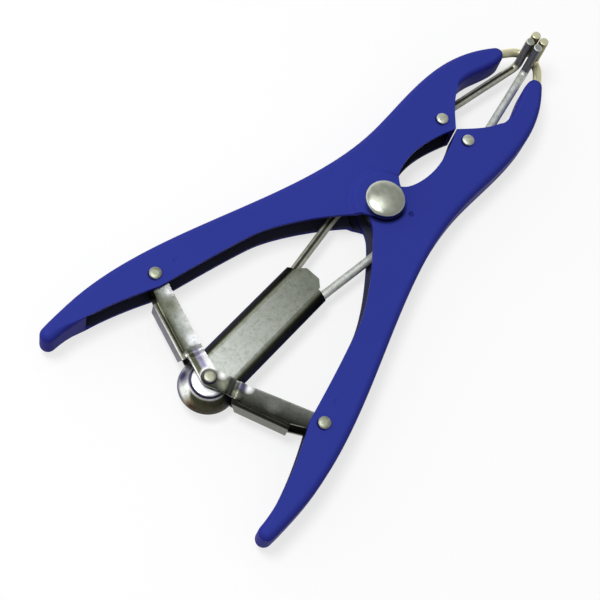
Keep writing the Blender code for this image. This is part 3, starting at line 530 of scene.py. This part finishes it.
# extrudes a ring of edges, and gives the new ring's corners and edges
def extrudeRing(work, edges):
    made = bmesh.ops.extrude_edge_only(work, edges=edges)["geom"]
    fresh = set(newCorners(made))
    return fresh, [part for part in made if isinstance(part, bmesh.types.BMEdge)
                   and part.verts[0] in fresh and part.verts[1] in fresh]


# a pressed sheet: the plan is extruded up in rings, and each ring moves in where the edge is rolled
def channelShell(points, rolls, bend, half, walls, steps=5):
    work = bmesh.new()
    spot = work.verts.layers.int.new("spot")
    inward = []
    for i in range(len(points)):
        before, after = points[i - 1], points[(i + 1) % len(points)]
        along = Vector((after[0] - before[0], after[1] - before[1])).normalized()
        inward.append((along.y, -along.x))
    turns = [math.pi / 2 * k / steps for k in range(steps + 1)]
    levels = [(-half + bend - bend * math.sin(turn), bend - bend * math.cos(turn))
              for turn in reversed(turns)]
    levels += [(-z, inset) for z, inset in reversed(levels)]

    def settle(verts, level):
        for vert in verts:
            i = vert[spot]
            inset = level[1] * rolls[i]
            vert.co = (points[i][0] + inward[i][0] * inset, points[i][1] + inward[i][1] * inset, level[0])

    first = [work.verts.new() for _ in points]
    for i, vert in enumerate(first):
        vert[spot] = i
    settle(first, levels[0])
    edges = list(work.faces.new(first).edges)
    for level in levels[1:]:
        fresh, edges = extrudeRing(work, edges)
        settle(fresh, level)
    bmesh.ops.edgeloop_fill(work, edges=edges)
    bmesh.ops.recalc_face_normals(work, faces=work.faces)
    sides = [face for face in work.faces if len({vert[spot] for vert in face.verts}) == 2]
    gone = [face for face in sides if not all(vert[spot] in walls for vert in face.verts)]
    bmesh.ops.delete(work, geom=gone, context="FACES")
    return work


def slab(points, low, high):
    work = bmesh.new()
    face = work.faces.new([work.verts.new((x, y, low)) for x, y in points])
    made = bmesh.ops.extrude_face_region(work, geom=[face])["geom"]
    bmesh.ops.translate(work, vec=(0, 0, high - low), verts=newCorners(made))
    bmesh.ops.recalc_face_normals(work, faces=work.faces)
    return work


def turned(profile, centre=(0, 0, 0), steps=48):
    work = bmesh.new()
    verts = [work.verts.new((radius, 0, z)) for radius, z in profile]
    edges = [work.edges.new(pair) for pair in zip(verts, verts[1:])]
    if profile[0][0] > 0:
        edges.append(work.edges.new((verts[-1], verts[0])))
    bmesh.ops.spin(work, geom=verts + edges, axis=(0, 0, 1), cent=(0, 0, 0), angle=math.tau, steps=steps,
                   use_merge=True)
    bmesh.ops.remove_doubles(work, verts=work.verts, dist=0.001)
    bmesh.ops.recalc_face_normals(work, faces=work.faces)
    bmesh.ops.translate(work, vec=centre, verts=work.verts)
    return work


def drill(radius, low, high, x=0.0, y=0.0, steps=24):
    return turned([(0, low), (radius, low), (radius, high), (0, high)], (x, y, 0), steps)


def dent(radius, depth, x, y, z):
    work = bmesh.new()
    bmesh.ops.create_uvsphere(work, u_segments=20, v_segments=10, radius=radius)
    bmesh.ops.scale(work, vec=(1, 1, depth / radius), verts=work.verts)
    bmesh.ops.translate(work, vec=(x, y, z), verts=work.verts)
    return work


# a round bar: a ring of edges is extruded from frame to frame along the path
def roundBar(path, radius, chamfer, segments=20):
    frames = []
    sideWay = None
    for i, point in enumerate(path):
        ahead = (path[min(i + 1, len(path) - 1)] - path[max(i - 1, 0)]).normalized()
        sideWay = ahead.cross(Vector((0, 0, 1))).normalized() if sideWay is None else sideWay
        sideWay = (sideWay - ahead * sideWay.dot(ahead)).normalized()
        axes = Matrix((sideWay, ahead.cross(sideWay), ahead)).transposed().to_4x4()
        frames.append(Matrix.Translation(point) @ axes)
    work = bmesh.new()
    bmesh.ops.create_circle(work, segments=segments, radius=radius)
    bmesh.ops.transform(work, matrix=frames[0], verts=work.verts)
    edges = list(work.edges)
    bmesh.ops.edgeloop_fill(work, edges=edges)
    for before, after in zip(frames, frames[1:]):
        fresh, edges = extrudeRing(work, edges)
        bmesh.ops.transform(work, matrix=after @ before.inverted(), verts=list(fresh))
    for vert in fresh:  # the end is chamfered
        vert.co += (path[-1] - vert.co).normalized() * chamfer
    bmesh.ops.edgeloop_fill(work, edges=edges)
    bmesh.ops.recalc_face_normals(work, faces=work.faces)
    return work


# gives an open shell its wall, then joins and cuts with other solids
def carve(work, steps, sheet=0.0, looks=()):
    base = looseMesh("base", work)
    for look in looks:
        base.data.materials.append(materials[look])
    if sheet:
        wall = base.modifiers.new("wall", "SOLIDIFY")
        wall.thickness = sheet
        wall.offset = -1.0
        wall.use_even_offset = True
        # the wall's inner side takes the last finish, on the handles the painted shade of their inside
        wall.material_offset = len(looks) - 1 if looks else 0
    tools = []
    for operation, other in steps:
        tools.append(looseMesh("tool", other))
        for look in looks:
            tools[-1].data.materials.append(materials[look])
        modifier = base.modifiers.new(operation.lower(), "BOOLEAN")
        modifier.operation = operation
        modifier.solver = "EXACT"
        modifier.object = tools[-1]
    bpy.context.view_layer.update()
    result = bmesh.new()
    result.from_mesh(base.evaluated_get(bpy.context.evaluated_depsgraph_get()).to_mesh())
    for made in tools + [base]:
        bpy.data.objects.remove(made)
    return result


mergeDistance = 2e-6
softEdge = {"segments": 2, "above": 38}


# turns a solid in millimetres into a piece with its looks, soft edges, body and node
def finishPiece(name, work, look, body, replaced, place=pivot, edge=0.2, side=1):
    bmesh.ops.scale(work, vec=(0.001 * side, 0.001, 0.001), verts=work.verts)
    bmesh.ops.translate(work, vec=place, verts=work.verts)
    bmesh.ops.remove_doubles(work, verts=work.verts, dist=mergeDistance)
    bmesh.ops.dissolve_degenerate(work, edges=work.edges, dist=mergeDistance)
    bmesh.ops.recalc_face_normals(work, faces=work.faces)
    piece = looseMesh(name, work)
    for finish in look if isinstance(look, tuple) else (look,):
        piece.data.materials.append(materials[finish])
    piece.data.shade_smooth()
    if edge:
        bevel = piece.modifiers.new("softEdges", "BEVEL")
        bevel.width = edge * 0.001
        bevel.segments = softEdge["segments"]
        bevel.limit_method = "ANGLE"
        bevel.angle_limit = math.radians(softEdge["above"])
    weigh = piece.modifiers.new("evenNormals", "WEIGHTED_NORMAL")
    weigh.keep_sharp = True
    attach(piece, body)
    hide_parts(replaced)


# handles

handle = {
    "sheet": 1.6, "half": 7.5, "bend": 3.0, "rise": 1.9, "earRadius": 9.0,
    "capTop": 11.8, "capFoot": 15.4, "pocket": 11.7, "pocketFlare": 1.2,
    "jawTip": (11.2, 93.2), "jawTipRadius": 3.4, "gripTip": (56.64, -137.7), "gripTipRadius": 3.4,
    "jawRivet": (7.26, 48.7), "linkRivet": (44.54, -90.75), "rivetHole": 1.75, "pivotHole": 4.25,
    "dimple": (42.5, -80.9), "dimpleSize": (1.3, 0.22), "pit": (11.8, 3.8), "pitSize": (1.15, 0.7),
    "capSink": 0.6, "capLip": 0.03, "pocketSink": 0.1, "tipRoll": 0.7, "tipRollSteps": 14, "jawRoll": 0.72,
    "wallStart": 65.0, "wallFull": 71.0, "cornerWall": 5, "tipWall": 18, "gripWall": 5, "cutReach": 4,
}
handle["web"] = [
    ("curve", (13.985, 95.150), (23.089, 83.011), (26.1, 71.209), (26.1, 53.0), 20),
    ("curve", (26.1, 53.0), (26.1, 43.0), (25.2, 34.0), (25.2, 24.0), 10),
    ("curve", (25.2, 24.0), (25.2, -24.84), (60.34, -75.16), (60.34, -124.0), 34),
    ("curve", (60.34, -124.0), (60.34, -128.0), (60.34, -133.7), (60.04, -137.7), 8),
    ("arc", handle["gripTip"], handle["gripTipRadius"], 0.0, -180.0, 16),
]
handle["open"] = [
    ("curve", (53.24, -137.7), (52.84, -122.69), (44.54, -103.7), (39.64, -93.55), 16),
    ("curve", (39.64, -93.55), (37.44, -84.05), (32.24, -62.55), (28.54, -50.55), 14),
    ("curve", (28.54, -50.55), (24.94, -39.05), (12.7, -21.6), (5.2, -13.4), 16),
    ("curve", (5.2, -13.4), (3.0, -11.0), (-0.078, -9.557), (-3.078, -8.457), 7),
    ("arc", (0.0, 0.0), handle["earRadius"], 250.0, 110.0, 26),
    ("curve", (-3.078, 8.457), (-0.778, 9.357), (1.7, 11.1), (3.0, 13.2), 6),
    ("curve", (3.0, 13.2), (4.8, 16.4), (5.9, 21.5), (5.9, 26.5), 8),
    ("curve", (5.9, 26.5), (5.9, 34.0), (2.8, 43.5), (0.2, 49.6), 12),
]
handle["jaw"] = [
    ("curve", (0.2, 49.6), (5.2, 55.4), (12.9, 62.5), (12.9, 71.5), 18),
    ("curve", (12.9, 71.5), (12.9, 78.0), (7.8, 86.0), (7.8, 93.2), 14),
    ("arc", handle["jawTip"], handle["jawTipRadius"], 180.0, 35.0, 12),
]
prong = {"radius": 2.0, "rodRadius": 1.85, "x": 2.17, "outerY": 105.6, "innerY": 101.05, "top": 18.5,
         "chamfer": 0.4, "elbow": 3.4, "wireLevel": 1.8, "rodLevel": -2.05}
wire = {"rootStart": 70.0, "rootEnd": 89.0, "clearance": 0.25, "rootBack": 0.3, "mouthOut": 1.2,
        "mouthY": 95.4, "heading": (-0.89, 0.46), "pulls": (0.45, 0.35, 0.5, 0.25)}


def uprightPath(foot, ahead, level, steps=10):
    path = []
    for k in range(steps + 1):
        turn = math.pi / 2 * k / steps
        back = prong["elbow"] * (1 - math.sin(turn))
        path.append(Vector((foot[0] - ahead.x * back, foot[1] - ahead.y * back,
                            level + prong["elbow"] * (1 - math.cos(turn)))))
    path.append(Vector((foot[0], foot[1], prong["top"] - prong["chamfer"])))
    path.append(Vector((foot[0], foot[1], prong["top"])))
    return path


# the outer prong's wire lies along the inside of the web, leaves by the jaw's tip and turns up
def wirePath():
    web = [p for p in planPoints(handle["web"]) if wire["rootStart"] < p[1] < wire["rootEnd"]]
    inset = handle["sheet"] + wire["clearance"] + prong["radius"]
    root = [(x - inset, y - wire["rootBack"] * inset) for x, y in reversed(web)]
    foot = Vector((prong["x"], prong["outerY"]))
    mouth = Vector((handle["jawTip"][0] + wire["mouthOut"], wire["mouthY"]))
    ahead = Vector(wire["heading"]).normalized()
    elbow = foot - ahead * prong["elbow"]
    last, first = Vector(root[-1]), Vector(root[0])
    leave = (elbow - mouth).normalized()
    free, reach = (elbow - mouth).length, (mouth - last).length
    rise = (last - first).normalized()
    leaveRoot, enterMouth, leaveMouth, enterElbow = wire["pulls"]
    spans = [("curve", last, last + rise * leaveRoot * reach, mouth - leave * enterMouth * reach, mouth, 6),
             ("curve", mouth, mouth + leave * leaveMouth * free,
              elbow - ahead * enterElbow * free, elbow, 10)]
    level = prong["wireLevel"]
    return [Vector((x, y, level)) for x, y in root[:-1] + planPoints(spans)] + uprightPath(foot, ahead, level)


def makeHandle(side, body):
    web, openEdge, jaw = (planPoints(handle[part]) for part in ("web", "open", "jaw"))
    points = web + openEdge + jaw
    jawStart = len(web) + len(openEdge)
    tipRoll = handle["tipRoll"]
    rolls = [tipRoll + (1.0 - tipRoll) * smooth(i / handle["tipRollSteps"]) for i in range(len(web))]
    span = handle["wallFull"] - handle["wallStart"]
    gripWall = handle["gripWall"]  # the grip's end is closed on its inner side too
    rolls += [1.0 - smooth(i / gripWall) for i in range(len(openEdge))]
    rolls += [handle["jawRoll"] * smooth((y - handle["wallStart"]) / span) for x, y in jaw]
    walls = set(range(len(web) + gripWall + 1))
    walls |= {jawStart + i for i, (x, y) in enumerate(jaw)
              if i <= handle["cornerWall"] or i > handle["tipWall"] or y > handle["wallStart"]}
    shell = channelShell(points, rolls, handle["bend"], handle["half"], walls)
    steps = []
    half, sheet, rise = handle["half"], handle["sheet"], handle["rise"]
    reach = half + handle["cutReach"]
    if side < 0:  # the flanges are pressed out round the pivot, over the other handle's ears
        for sign in (-1, 1):
            sink, lip = half - handle["capSink"], handle["capLip"]
            fade = [k / 10 for k in range(11)]
            profile = [(0.0, sign * sink), (handle["capFoot"], sign * sink)]
            profile += [(handle["capFoot"] + (handle["capTop"] - handle["capFoot"]) * t,
                         sign * (half - lip + (rise + lip) * smooth(t))) for t in fade]
            profile.append((0.0, sign * (half + rise)))
            cap = carve(slab(points, -reach, reach), [("INTERSECT", turned(profile, steps=64))])
            steps.append(("UNION", cap))
        for sign in (-1, 1):
            inside = half - sheet
            sink = sign * (inside - handle["pocketSink"])
            pocket = [(0.0, sink), (handle["pocket"] + handle["pocketFlare"], sink),
                      (handle["pocket"], sign * (inside + rise)), (0.0, sign * (inside + rise))]
            hollow = turned(pocket, steps=56)
            # the pocket takes the second finish, the painted shade of the inside
            for face in hollow.faces:
                face.material_index = 1
            steps.append(("DIFFERENCE", hollow))
    steps.append(("DIFFERENCE", drill(handle["pivotHole"], -reach, reach, steps=36)))
    for x, y in (handle["jawRivet"], handle["linkRivet"]):
        steps.append(("DIFFERENCE", drill(handle["rivetHole"], -reach, reach, x, y)))
    steps.append(("DIFFERENCE", roundBar(wirePath(), prong["radius"] + wire["clearance"], 0.0)))
    steps.append(("DIFFERENCE", dent(*handle["dimpleSize"], *handle["dimple"], half)))
    if side > 0:
        steps.append(("DIFFERENCE", dent(*handle["pitSize"], *handle["pit"], half)))
    looks = ("blueCoat", "blueInShade")
    work = carve(shell, steps, sheet, looks)
    name = "rightHandlePressing" if side > 0 else "leftHandlePressing"
    finishPiece(name, work, looks, body, body, edge=0.25, side=side)


makeHandle(1, "right_handle")
makeHandle(-1, "left_handle")
print("handles made")


# outer prongs

def makeOuterProng(side, body, node):
    work = roundBar(wirePath(), prong["radius"], prong["chamfer"])
    name = node.title().replace("_", "") + "Wire"
    finishPiece(name, work, "yellowZinc", body, node, edge=0.0, side=side)


makeOuterProng(1, "right_handle", "right_outer_prong")
makeOuterProng(-1, "left_handle", "left_outer_prong")
print("outer prongs made")


# rods

rod = {"middleX": 11.8, "bendStart": -16.0, "bendEnd": 50.0, "halfBend": 5.0, "eyeRadius": 4.2,
       "eyeShank": 17.5, "hole": 1.75, "lap": 0.125}


def makeRod(side, body):
    foot = Vector((prong["x"], prong["innerY"]))
    first, second = Vector((rod["middleX"], rod["bendStart"])), Vector((rod["middleX"], rod["bendEnd"]))
    pin = Vector((0.0, -pivotToJoint))
    out, straight = (first - pin).normalized(), (second - first).normalized()
    home = (foot - second).normalized()
    half, level, radius = rod["halfBend"], prong["rodLevel"], prong["rodRadius"]
    spans = [("curve", first - out * half, first - out * half / 3, first + straight * half / 3,
              first + straight * half, 8),
             ("curve", second - straight * half, second - straight * half / 3, second + home * half / 3,
              second + home * half, 8)]
    flat = [pin + out * (rod["eyeShank"] - 1.0)] + [Vector(p) for p in planPoints(spans[:1])]
    flat += [first + straight * half] + [Vector(p) for p in planPoints(spans[1:])] + [second + home * half]
    path = [Vector((p.x, p.y, level)) for p in flat] + uprightPath(foot, home, level)
    bar = roundBar(path, radius, prong["chamfer"])
    # each eye is half the rod's thickness, so that the two lap on the joint rivet
    low, high = (level - radius, level - rod["lap"]) if side > 0 else (level + rod["lap"], level + radius)
    across = Vector((out.y, -out.x)) * radius
    root, end = pin + out, pin + out * rod["eyeShank"]
    shank = slab([tuple(p) for p in (root + across, root - across, end - across, end + across)], low, high)
    eye = drill(rod["eyeRadius"], low, high, 0.0, -pivotToJoint, 36)
    hole = drill(rod["hole"], low - 1, high + 1, 0.0, -pivotToJoint)
    work = carve(bar, [("UNION", shank), ("UNION", eye), ("DIFFERENCE", hole)])
    word = "right" if side > 0 else "left"
    finishPiece(word + "RodBar", work, word + "RodSteel", body, body, edge=0.12, side=side)


makeRod(1, "right_rod")
makeRod(-1, "left_rod")
print("rods made")


# rivets

rivet = {
    "main": {"look": "rivetZinc", "head": 8.4, "dome": 2.8, "rim": 0.6, "power": 2.2, "shank": 4.0,
             "tail": 6.2, "tailHeight": 1.5, "seat": 9.65},
    "jaw": {"look": "smallRivetZinc", "head": 2.6, "dome": 1.05, "rim": 0.3, "power": 2.8, "shank": 1.5,
            "tail": 2.4, "tailHeight": 1.5, "seat": 7.75},
    "joint": {"look": "jointRivetZinc", "head": 2.8, "dome": 1.2, "rim": 0.3, "power": 3.2, "shank": 1.5,
              "tail": 2.4, "tailHeight": 1.0, "seat": 7.05, "under": -7.8},
}
rivet["link"] = {**rivet["jaw"], "look": "linkRivetZinc"}
domeSteps = 16


def makeRivet(name, sizes, body, replaced, place, x=0.0, y=0.0):
    seat, head, rim, power = sizes["seat"], sizes["head"], sizes["rim"], sizes["power"]
    under = sizes.get("under", -seat)
    profile = []
    for k in range(domeSteps + 1):  # a dome that is flatter in the middle than a ball, over a short rim
        share = math.sin(math.pi / 2 * k / domeSteps)
        rise = (1 - share ** power) ** (1 / power)
        profile.append((head * share, seat + rim + (sizes["dome"] - rim) * rise))
    profile += [(head, seat + 0.3 * rim), (head - 0.5 * rim, seat), (sizes["shank"], seat),
                (sizes["shank"], under), (sizes["tail"], under)]
    low = under - sizes["tailHeight"]
    profile += [(sizes["tail"], low + 0.5 * sizes["tailHeight"]), (0.8 * sizes["tail"], low), (0.0, low)]
    work = turned(profile, (x, y, 0.0), 56)
    finishPiece(name, work, sizes["look"], body, replaced, place, edge=0.08)


makeRivet("mainRivetDome", rivet["main"], "pivot", "main_rivet", pivot)
makeRivet("jointRivetDome", rivet["joint"], "slider", "link_joint_rivet", joint)
for word, side in (("left", -1), ("right", 1)):
    for kind in ("jaw", "link"):
        x, y = handle[kind + "Rivet"]
        makeRivet(f"{word}{kind.title()}RivetDome", rivet[kind], f"{word}_handle",
                  f"{word}_{kind}_rivet", pivot, side * x, y)
print("rivets made")


# slider: a splayed tray whose rear turns into a cup round the joint

slider = {
    "sheet": 1.0, "wallEnd": 0.1, "wallFront": 59.6, "nose": 3.7, "chamfer": 2.7, "hole": 1.75,
    "halfTray": 10.51, "halfNose": 6.5, "halfCut": 13, "cutReach": 5,
    "section": [(0.0, 3.9), (5.6, 3.9), (6.5, 3.77), (7.3, 3.40), (7.95, 2.90), (8.9, 2.0), (9.8, 1.05),
                (10.5, 0.1)],
    "skirt": [(11.2, -1.2), (11.65, -2.5), (11.8, -3.7)],
}


def frontEdges(work, front, halfWidth):
    return [edge for edge in work.edges if all(abs(v.co.y - front) < 0.01 and abs(v.co.x) < halfWidth
                                               for v in edge.verts)]


def extrudeAhead(work, edges, distance):
    made = bmesh.ops.extrude_edge_only(work, edges=edges)["geom"]
    fresh = newCorners(made)
    bmesh.ops.translate(work, vec=(0, distance, 0), verts=fresh)
    return fresh


def makeSlider():
    work = bmesh.new()
    chain = [work.verts.new((x, 0, z)) for x, z in slider["section"] + slider["skirt"]]
    edges = [work.edges.new(pair) for pair in zip(chain, chain[1:])]
    bmesh.ops.spin(work, geom=chain + edges, axis=(0, 0, 1), cent=(0, 0, 0), angle=-math.pi, steps=40)
    bmesh.ops.remove_doubles(work, verts=work.verts, dist=0.001)
    ends = [edge for edge in frontEdges(work, 0.0, slider["halfTray"]) if len(edge.link_faces) == 1]
    extrudeAhead(work, ends, slider["wallFront"])
    straight = slider["nose"] - slider["chamfer"]
    front = slider["wallFront"]
    for distance, cut in ((straight, 0.0), (slider["chamfer"], slider["chamfer"])):
        fresh = extrudeAhead(work, frontEdges(work, front, slider["halfNose"]), distance)
        front += distance
        for vert in fresh:
            if abs(vert.co.x) > 5:
                vert.co.x -= math.copysign(cut, vert.co.x)
    bmesh.ops.remove_doubles(work, verts=work.verts, dist=0.001)
    bmesh.ops.recalc_face_normals(work, faces=work.faces)
    if max(work.faces, key=lambda face: face.calc_center_median().z).normal.z < 0:
        bmesh.ops.reverse_faces(work, faces=work.faces)
    reach = slider["wallFront"] + slider["nose"] + slider["cutReach"]
    wide = slider["halfCut"]
    below = slab([(-wide, 0.01), (wide, 0.01), (wide, reach), (-wide, reach)], -6.0, slider["wallEnd"])
    steps = [("DIFFERENCE", drill(slider["hole"], 1.0, 6.0)), ("DIFFERENCE", below)]
    body = carve(work, steps, slider["sheet"])
    finishPiece("sliderTray", body, "sliderZinc", "slider", "slider", joint, edge=0.12)


makeSlider()
print("slider made")


# links

link = {
    "length": 47.606, "turn": 20.677, "half": 5.5, "sheet": 1.2, "bend": 2.2, "front": 3.4,
    "rear": {"left": (6.0, 6.0), "right": (5.7, 6.9)}, "webEnd": {"left": 37.0, "right": 35.6}, "taper": 8.0,
    "webStart": 11.0, "slant": 3.3, "tongue": 3.6, "neck": 8.6, "lap": 10.5, "end": 53.306, "hole": 1.75,
    "slotRadius": 2.1, "slotReach": 2.0, "lift": {"left": -0.15, "right": 1.3}, "liftFade": 3.0,
    "ridge": 0.5, "ridgeAt": 12.2, "ridgeWidth": 1.3, "corner": 3.0, "firstCut": 6.0,
    "cutStep": 0.5, "cuts": 29, "flatAbove": 5.4,
}


def makeLink(side, word):
    webStart, webEnd, front = link["webStart"], link["webEnd"][word], link["front"]
    tongue, neck, end = link["tongue"], link["neck"], link["end"]
    rearStart, rearEnd = link["rear"][word]
    points = [(webEnd + link["taper"], -front), (webEnd, -rearEnd), (webStart, -rearStart),
              (webStart - 1.2, -tongue + 0.1), (neck, -tongue)]
    points += planPoints([("arc", (0.0, 0.0), tongue, 270.0, 90.0, 24)])
    points += [(0.0, tongue), (neck, tongue), (webStart, front)]
    corner = link["corner"]
    points += planPoints([("arc", (end - corner, front - corner), corner, 90.0, 0.0, 8),
                          ("arc", (end - corner, corner - front), corner, 0.0, -80.0, 8)])
    rolls = [0.0, 1.0, 1.0] + [0.0] * (len(points) - 3)
    work = channelShell(points, rolls, link["bend"], link["half"], {1, 2}, steps=6)
    spot = work.verts.layers.int["spot"]
    alongWeb = Vector((webEnd - webStart, rearStart - rearEnd, 0)).normalized()
    away = alongWeb * link["slant"] / (2 * link["half"])
    for vert in work.verts:  # the web's end slants to clear the cup's skirt
        if vert[spot] == 2:
            vert.co += away * (link["half"] - vert.co.z)
    for k in range(link["cuts"]):  # cuts across the link, so that the flanges can step and rise
        bmesh.ops.bisect_plane(work, geom=work.verts[:] + work.edges[:] + work.faces[:], dist=1e-4,
                               plane_co=(link["firstCut"] + link["cutStep"] * k, 0, 0), plane_no=(1, 0, 0))
    bmesh.ops.recalc_face_normals(work, faces=work.faces)
    # the flanges move outwards by the size of the offset, whatever its sign, which leaves a low ridge
    for vert in work.verts:
        if abs(vert.co.z) < link["flatAbove"]:
            continue
        share = 1 - smooth((vert.co.x - link["lap"] + link["liftFade"]) / link["liftFade"])
        ridge = link["ridge"] * math.exp(-((vert.co.x - link["ridgeAt"]) / link["ridgeWidth"]) ** 2)
        offset = abs(link["lift"][word] * share - ridge)
        vert.co.z += math.copysign(offset, vert.co.z)
    reach = link["half"] + 2
    spans = [("arc", (link["length"] + link["slotReach"], 0.0), link["slotRadius"], 90.0, -90.0, 12),
             ("arc", (link["length"] - link["slotReach"], 0.0), link["slotRadius"], 270.0, 90.0, 12)]
    steps = [("DIFFERENCE", slab(planPoints(spans), -reach, reach)),
             ("DIFFERENCE", drill(link["hole"], -reach, reach))]
    work = carve(work, steps, link["sheet"])
    turn = Matrix.Rotation(math.radians(link["turn"]), 3, "Z")
    bmesh.ops.rotate(work, verts=work.verts, cent=(0, 0, 0), matrix=turn)
    body = word + "_link"
    finishPiece(word + "LinkPressing", work, word + "LinkSteel", body, body, joint,
                edge=0.15, side=side)


makeLink(1, "right")
makeLink(-1, "left")
print("links made")


# studio: a white floor that keeps the shadow, a soft box nearly overhead, and two weaker ones for highlights

studio = {"floorSize": 8.0, "floorColour": 0.33, "floorLift": 0.70, "worldUp": 0.30, "worldLeft": 1.35,
          "worldRight": 0.35, "aim": (0.0, -0.02, 0.0),
          "lamps": [("overheadBox", (-0.24, -0.20, 0.95), 0.34, 5.0),
                    ("highlightBox", (-0.12, 0.24, 0.96), 0.12, 0.31),
                    ("leftStrip", (-0.62, -0.76, 0.30), 0.30, 0.4)]}


def makeFloor():
    work = bmesh.new()
    bmesh.ops.create_grid(work, x_segments=1, y_segments=1, size=studio["floorSize"] / 2)
    floor = looseMesh("floor", work)
    material = bpy.data.materials.new("floorPaper")
    material.use_nodes = True
    nodes, links = material.node_tree.nodes, material.node_tree.links
    shader = nodes["Principled BSDF"]
    shader.inputs["Base Color"].default_value = (studio["floorColour"],) * 3 + (1.0,)
    shader.inputs["Roughness"].default_value = 0.9
    shader.inputs["Specular IOR Level"].default_value = 0.1
    paths = nodes.new("ShaderNodeLightPath")
    seen = paths.outputs["Is Camera Ray"]
    for label in ("Is Glossy Ray", "Is Transmission Ray"):
        either = nodes.new("ShaderNodeMath")
        either.operation = "MAXIMUM"
        links.new(seen, either.inputs[0])
        links.new(paths.outputs[label], either.inputs[1])
        seen = either.outputs[0]
    shader.inputs["Emission Color"].default_value = (1, 1, 1, 1)
    links.new(multiply(nodes, links, seen, studio["floorLift"]), shader.inputs["Emission Strength"])
    floor.data.materials.append(material)


def makeLamp(name, place, size, power):
    data = bpy.data.lights.new(name, "AREA")
    data.shape = "DISK"
    data.size = size
    data.energy = power
    lamp = bpy.data.objects.new(name, data)
    bpy.context.collection.objects.link(lamp)
    place = Vector(place)
    aim = Vector(studio["aim"]) - place
    lamp.matrix_world = Matrix.Translation(place) @ aim.to_track_quat("-Z", "Y").to_matrix().to_4x4()


def makeWorld():
    world = bpy.data.worlds.new("studioWorld")
    bpy.context.scene.world = world
    world.use_nodes = True
    nodes, links = world.node_tree.nodes, world.node_tree.links
    place = nodes.new("ShaderNodeTexCoord")
    split = nodes.new("ShaderNodeSeparateXYZ")
    links.new(place.outputs["Generated"], split.inputs[0])
    level = remap(nodes, links, split.outputs["X"], studio["worldLeft"], studio["worldRight"], -0.9, 0.3)
    blend = nodes.new("ShaderNodeMix")
    links.new(remap(nodes, links, split.outputs["Z"], 0.0, 1.0, 0.1, 0.7), blend.inputs["Factor"])
    links.new(level, blend.inputs["A"])
    blend.inputs["B"].default_value = studio["worldUp"]
    links.new(blend.outputs["Result"], nodes["Background"].inputs["Strength"])
    nodes["Background"].inputs["Color"].default_value = (1, 1, 1, 1)


makeFloor()
for lamp in studio["lamps"]:
    makeLamp(*lamp)
makeWorld()
bpy.context.scene.view_settings.view_transform = "Standard"
print("studio made")
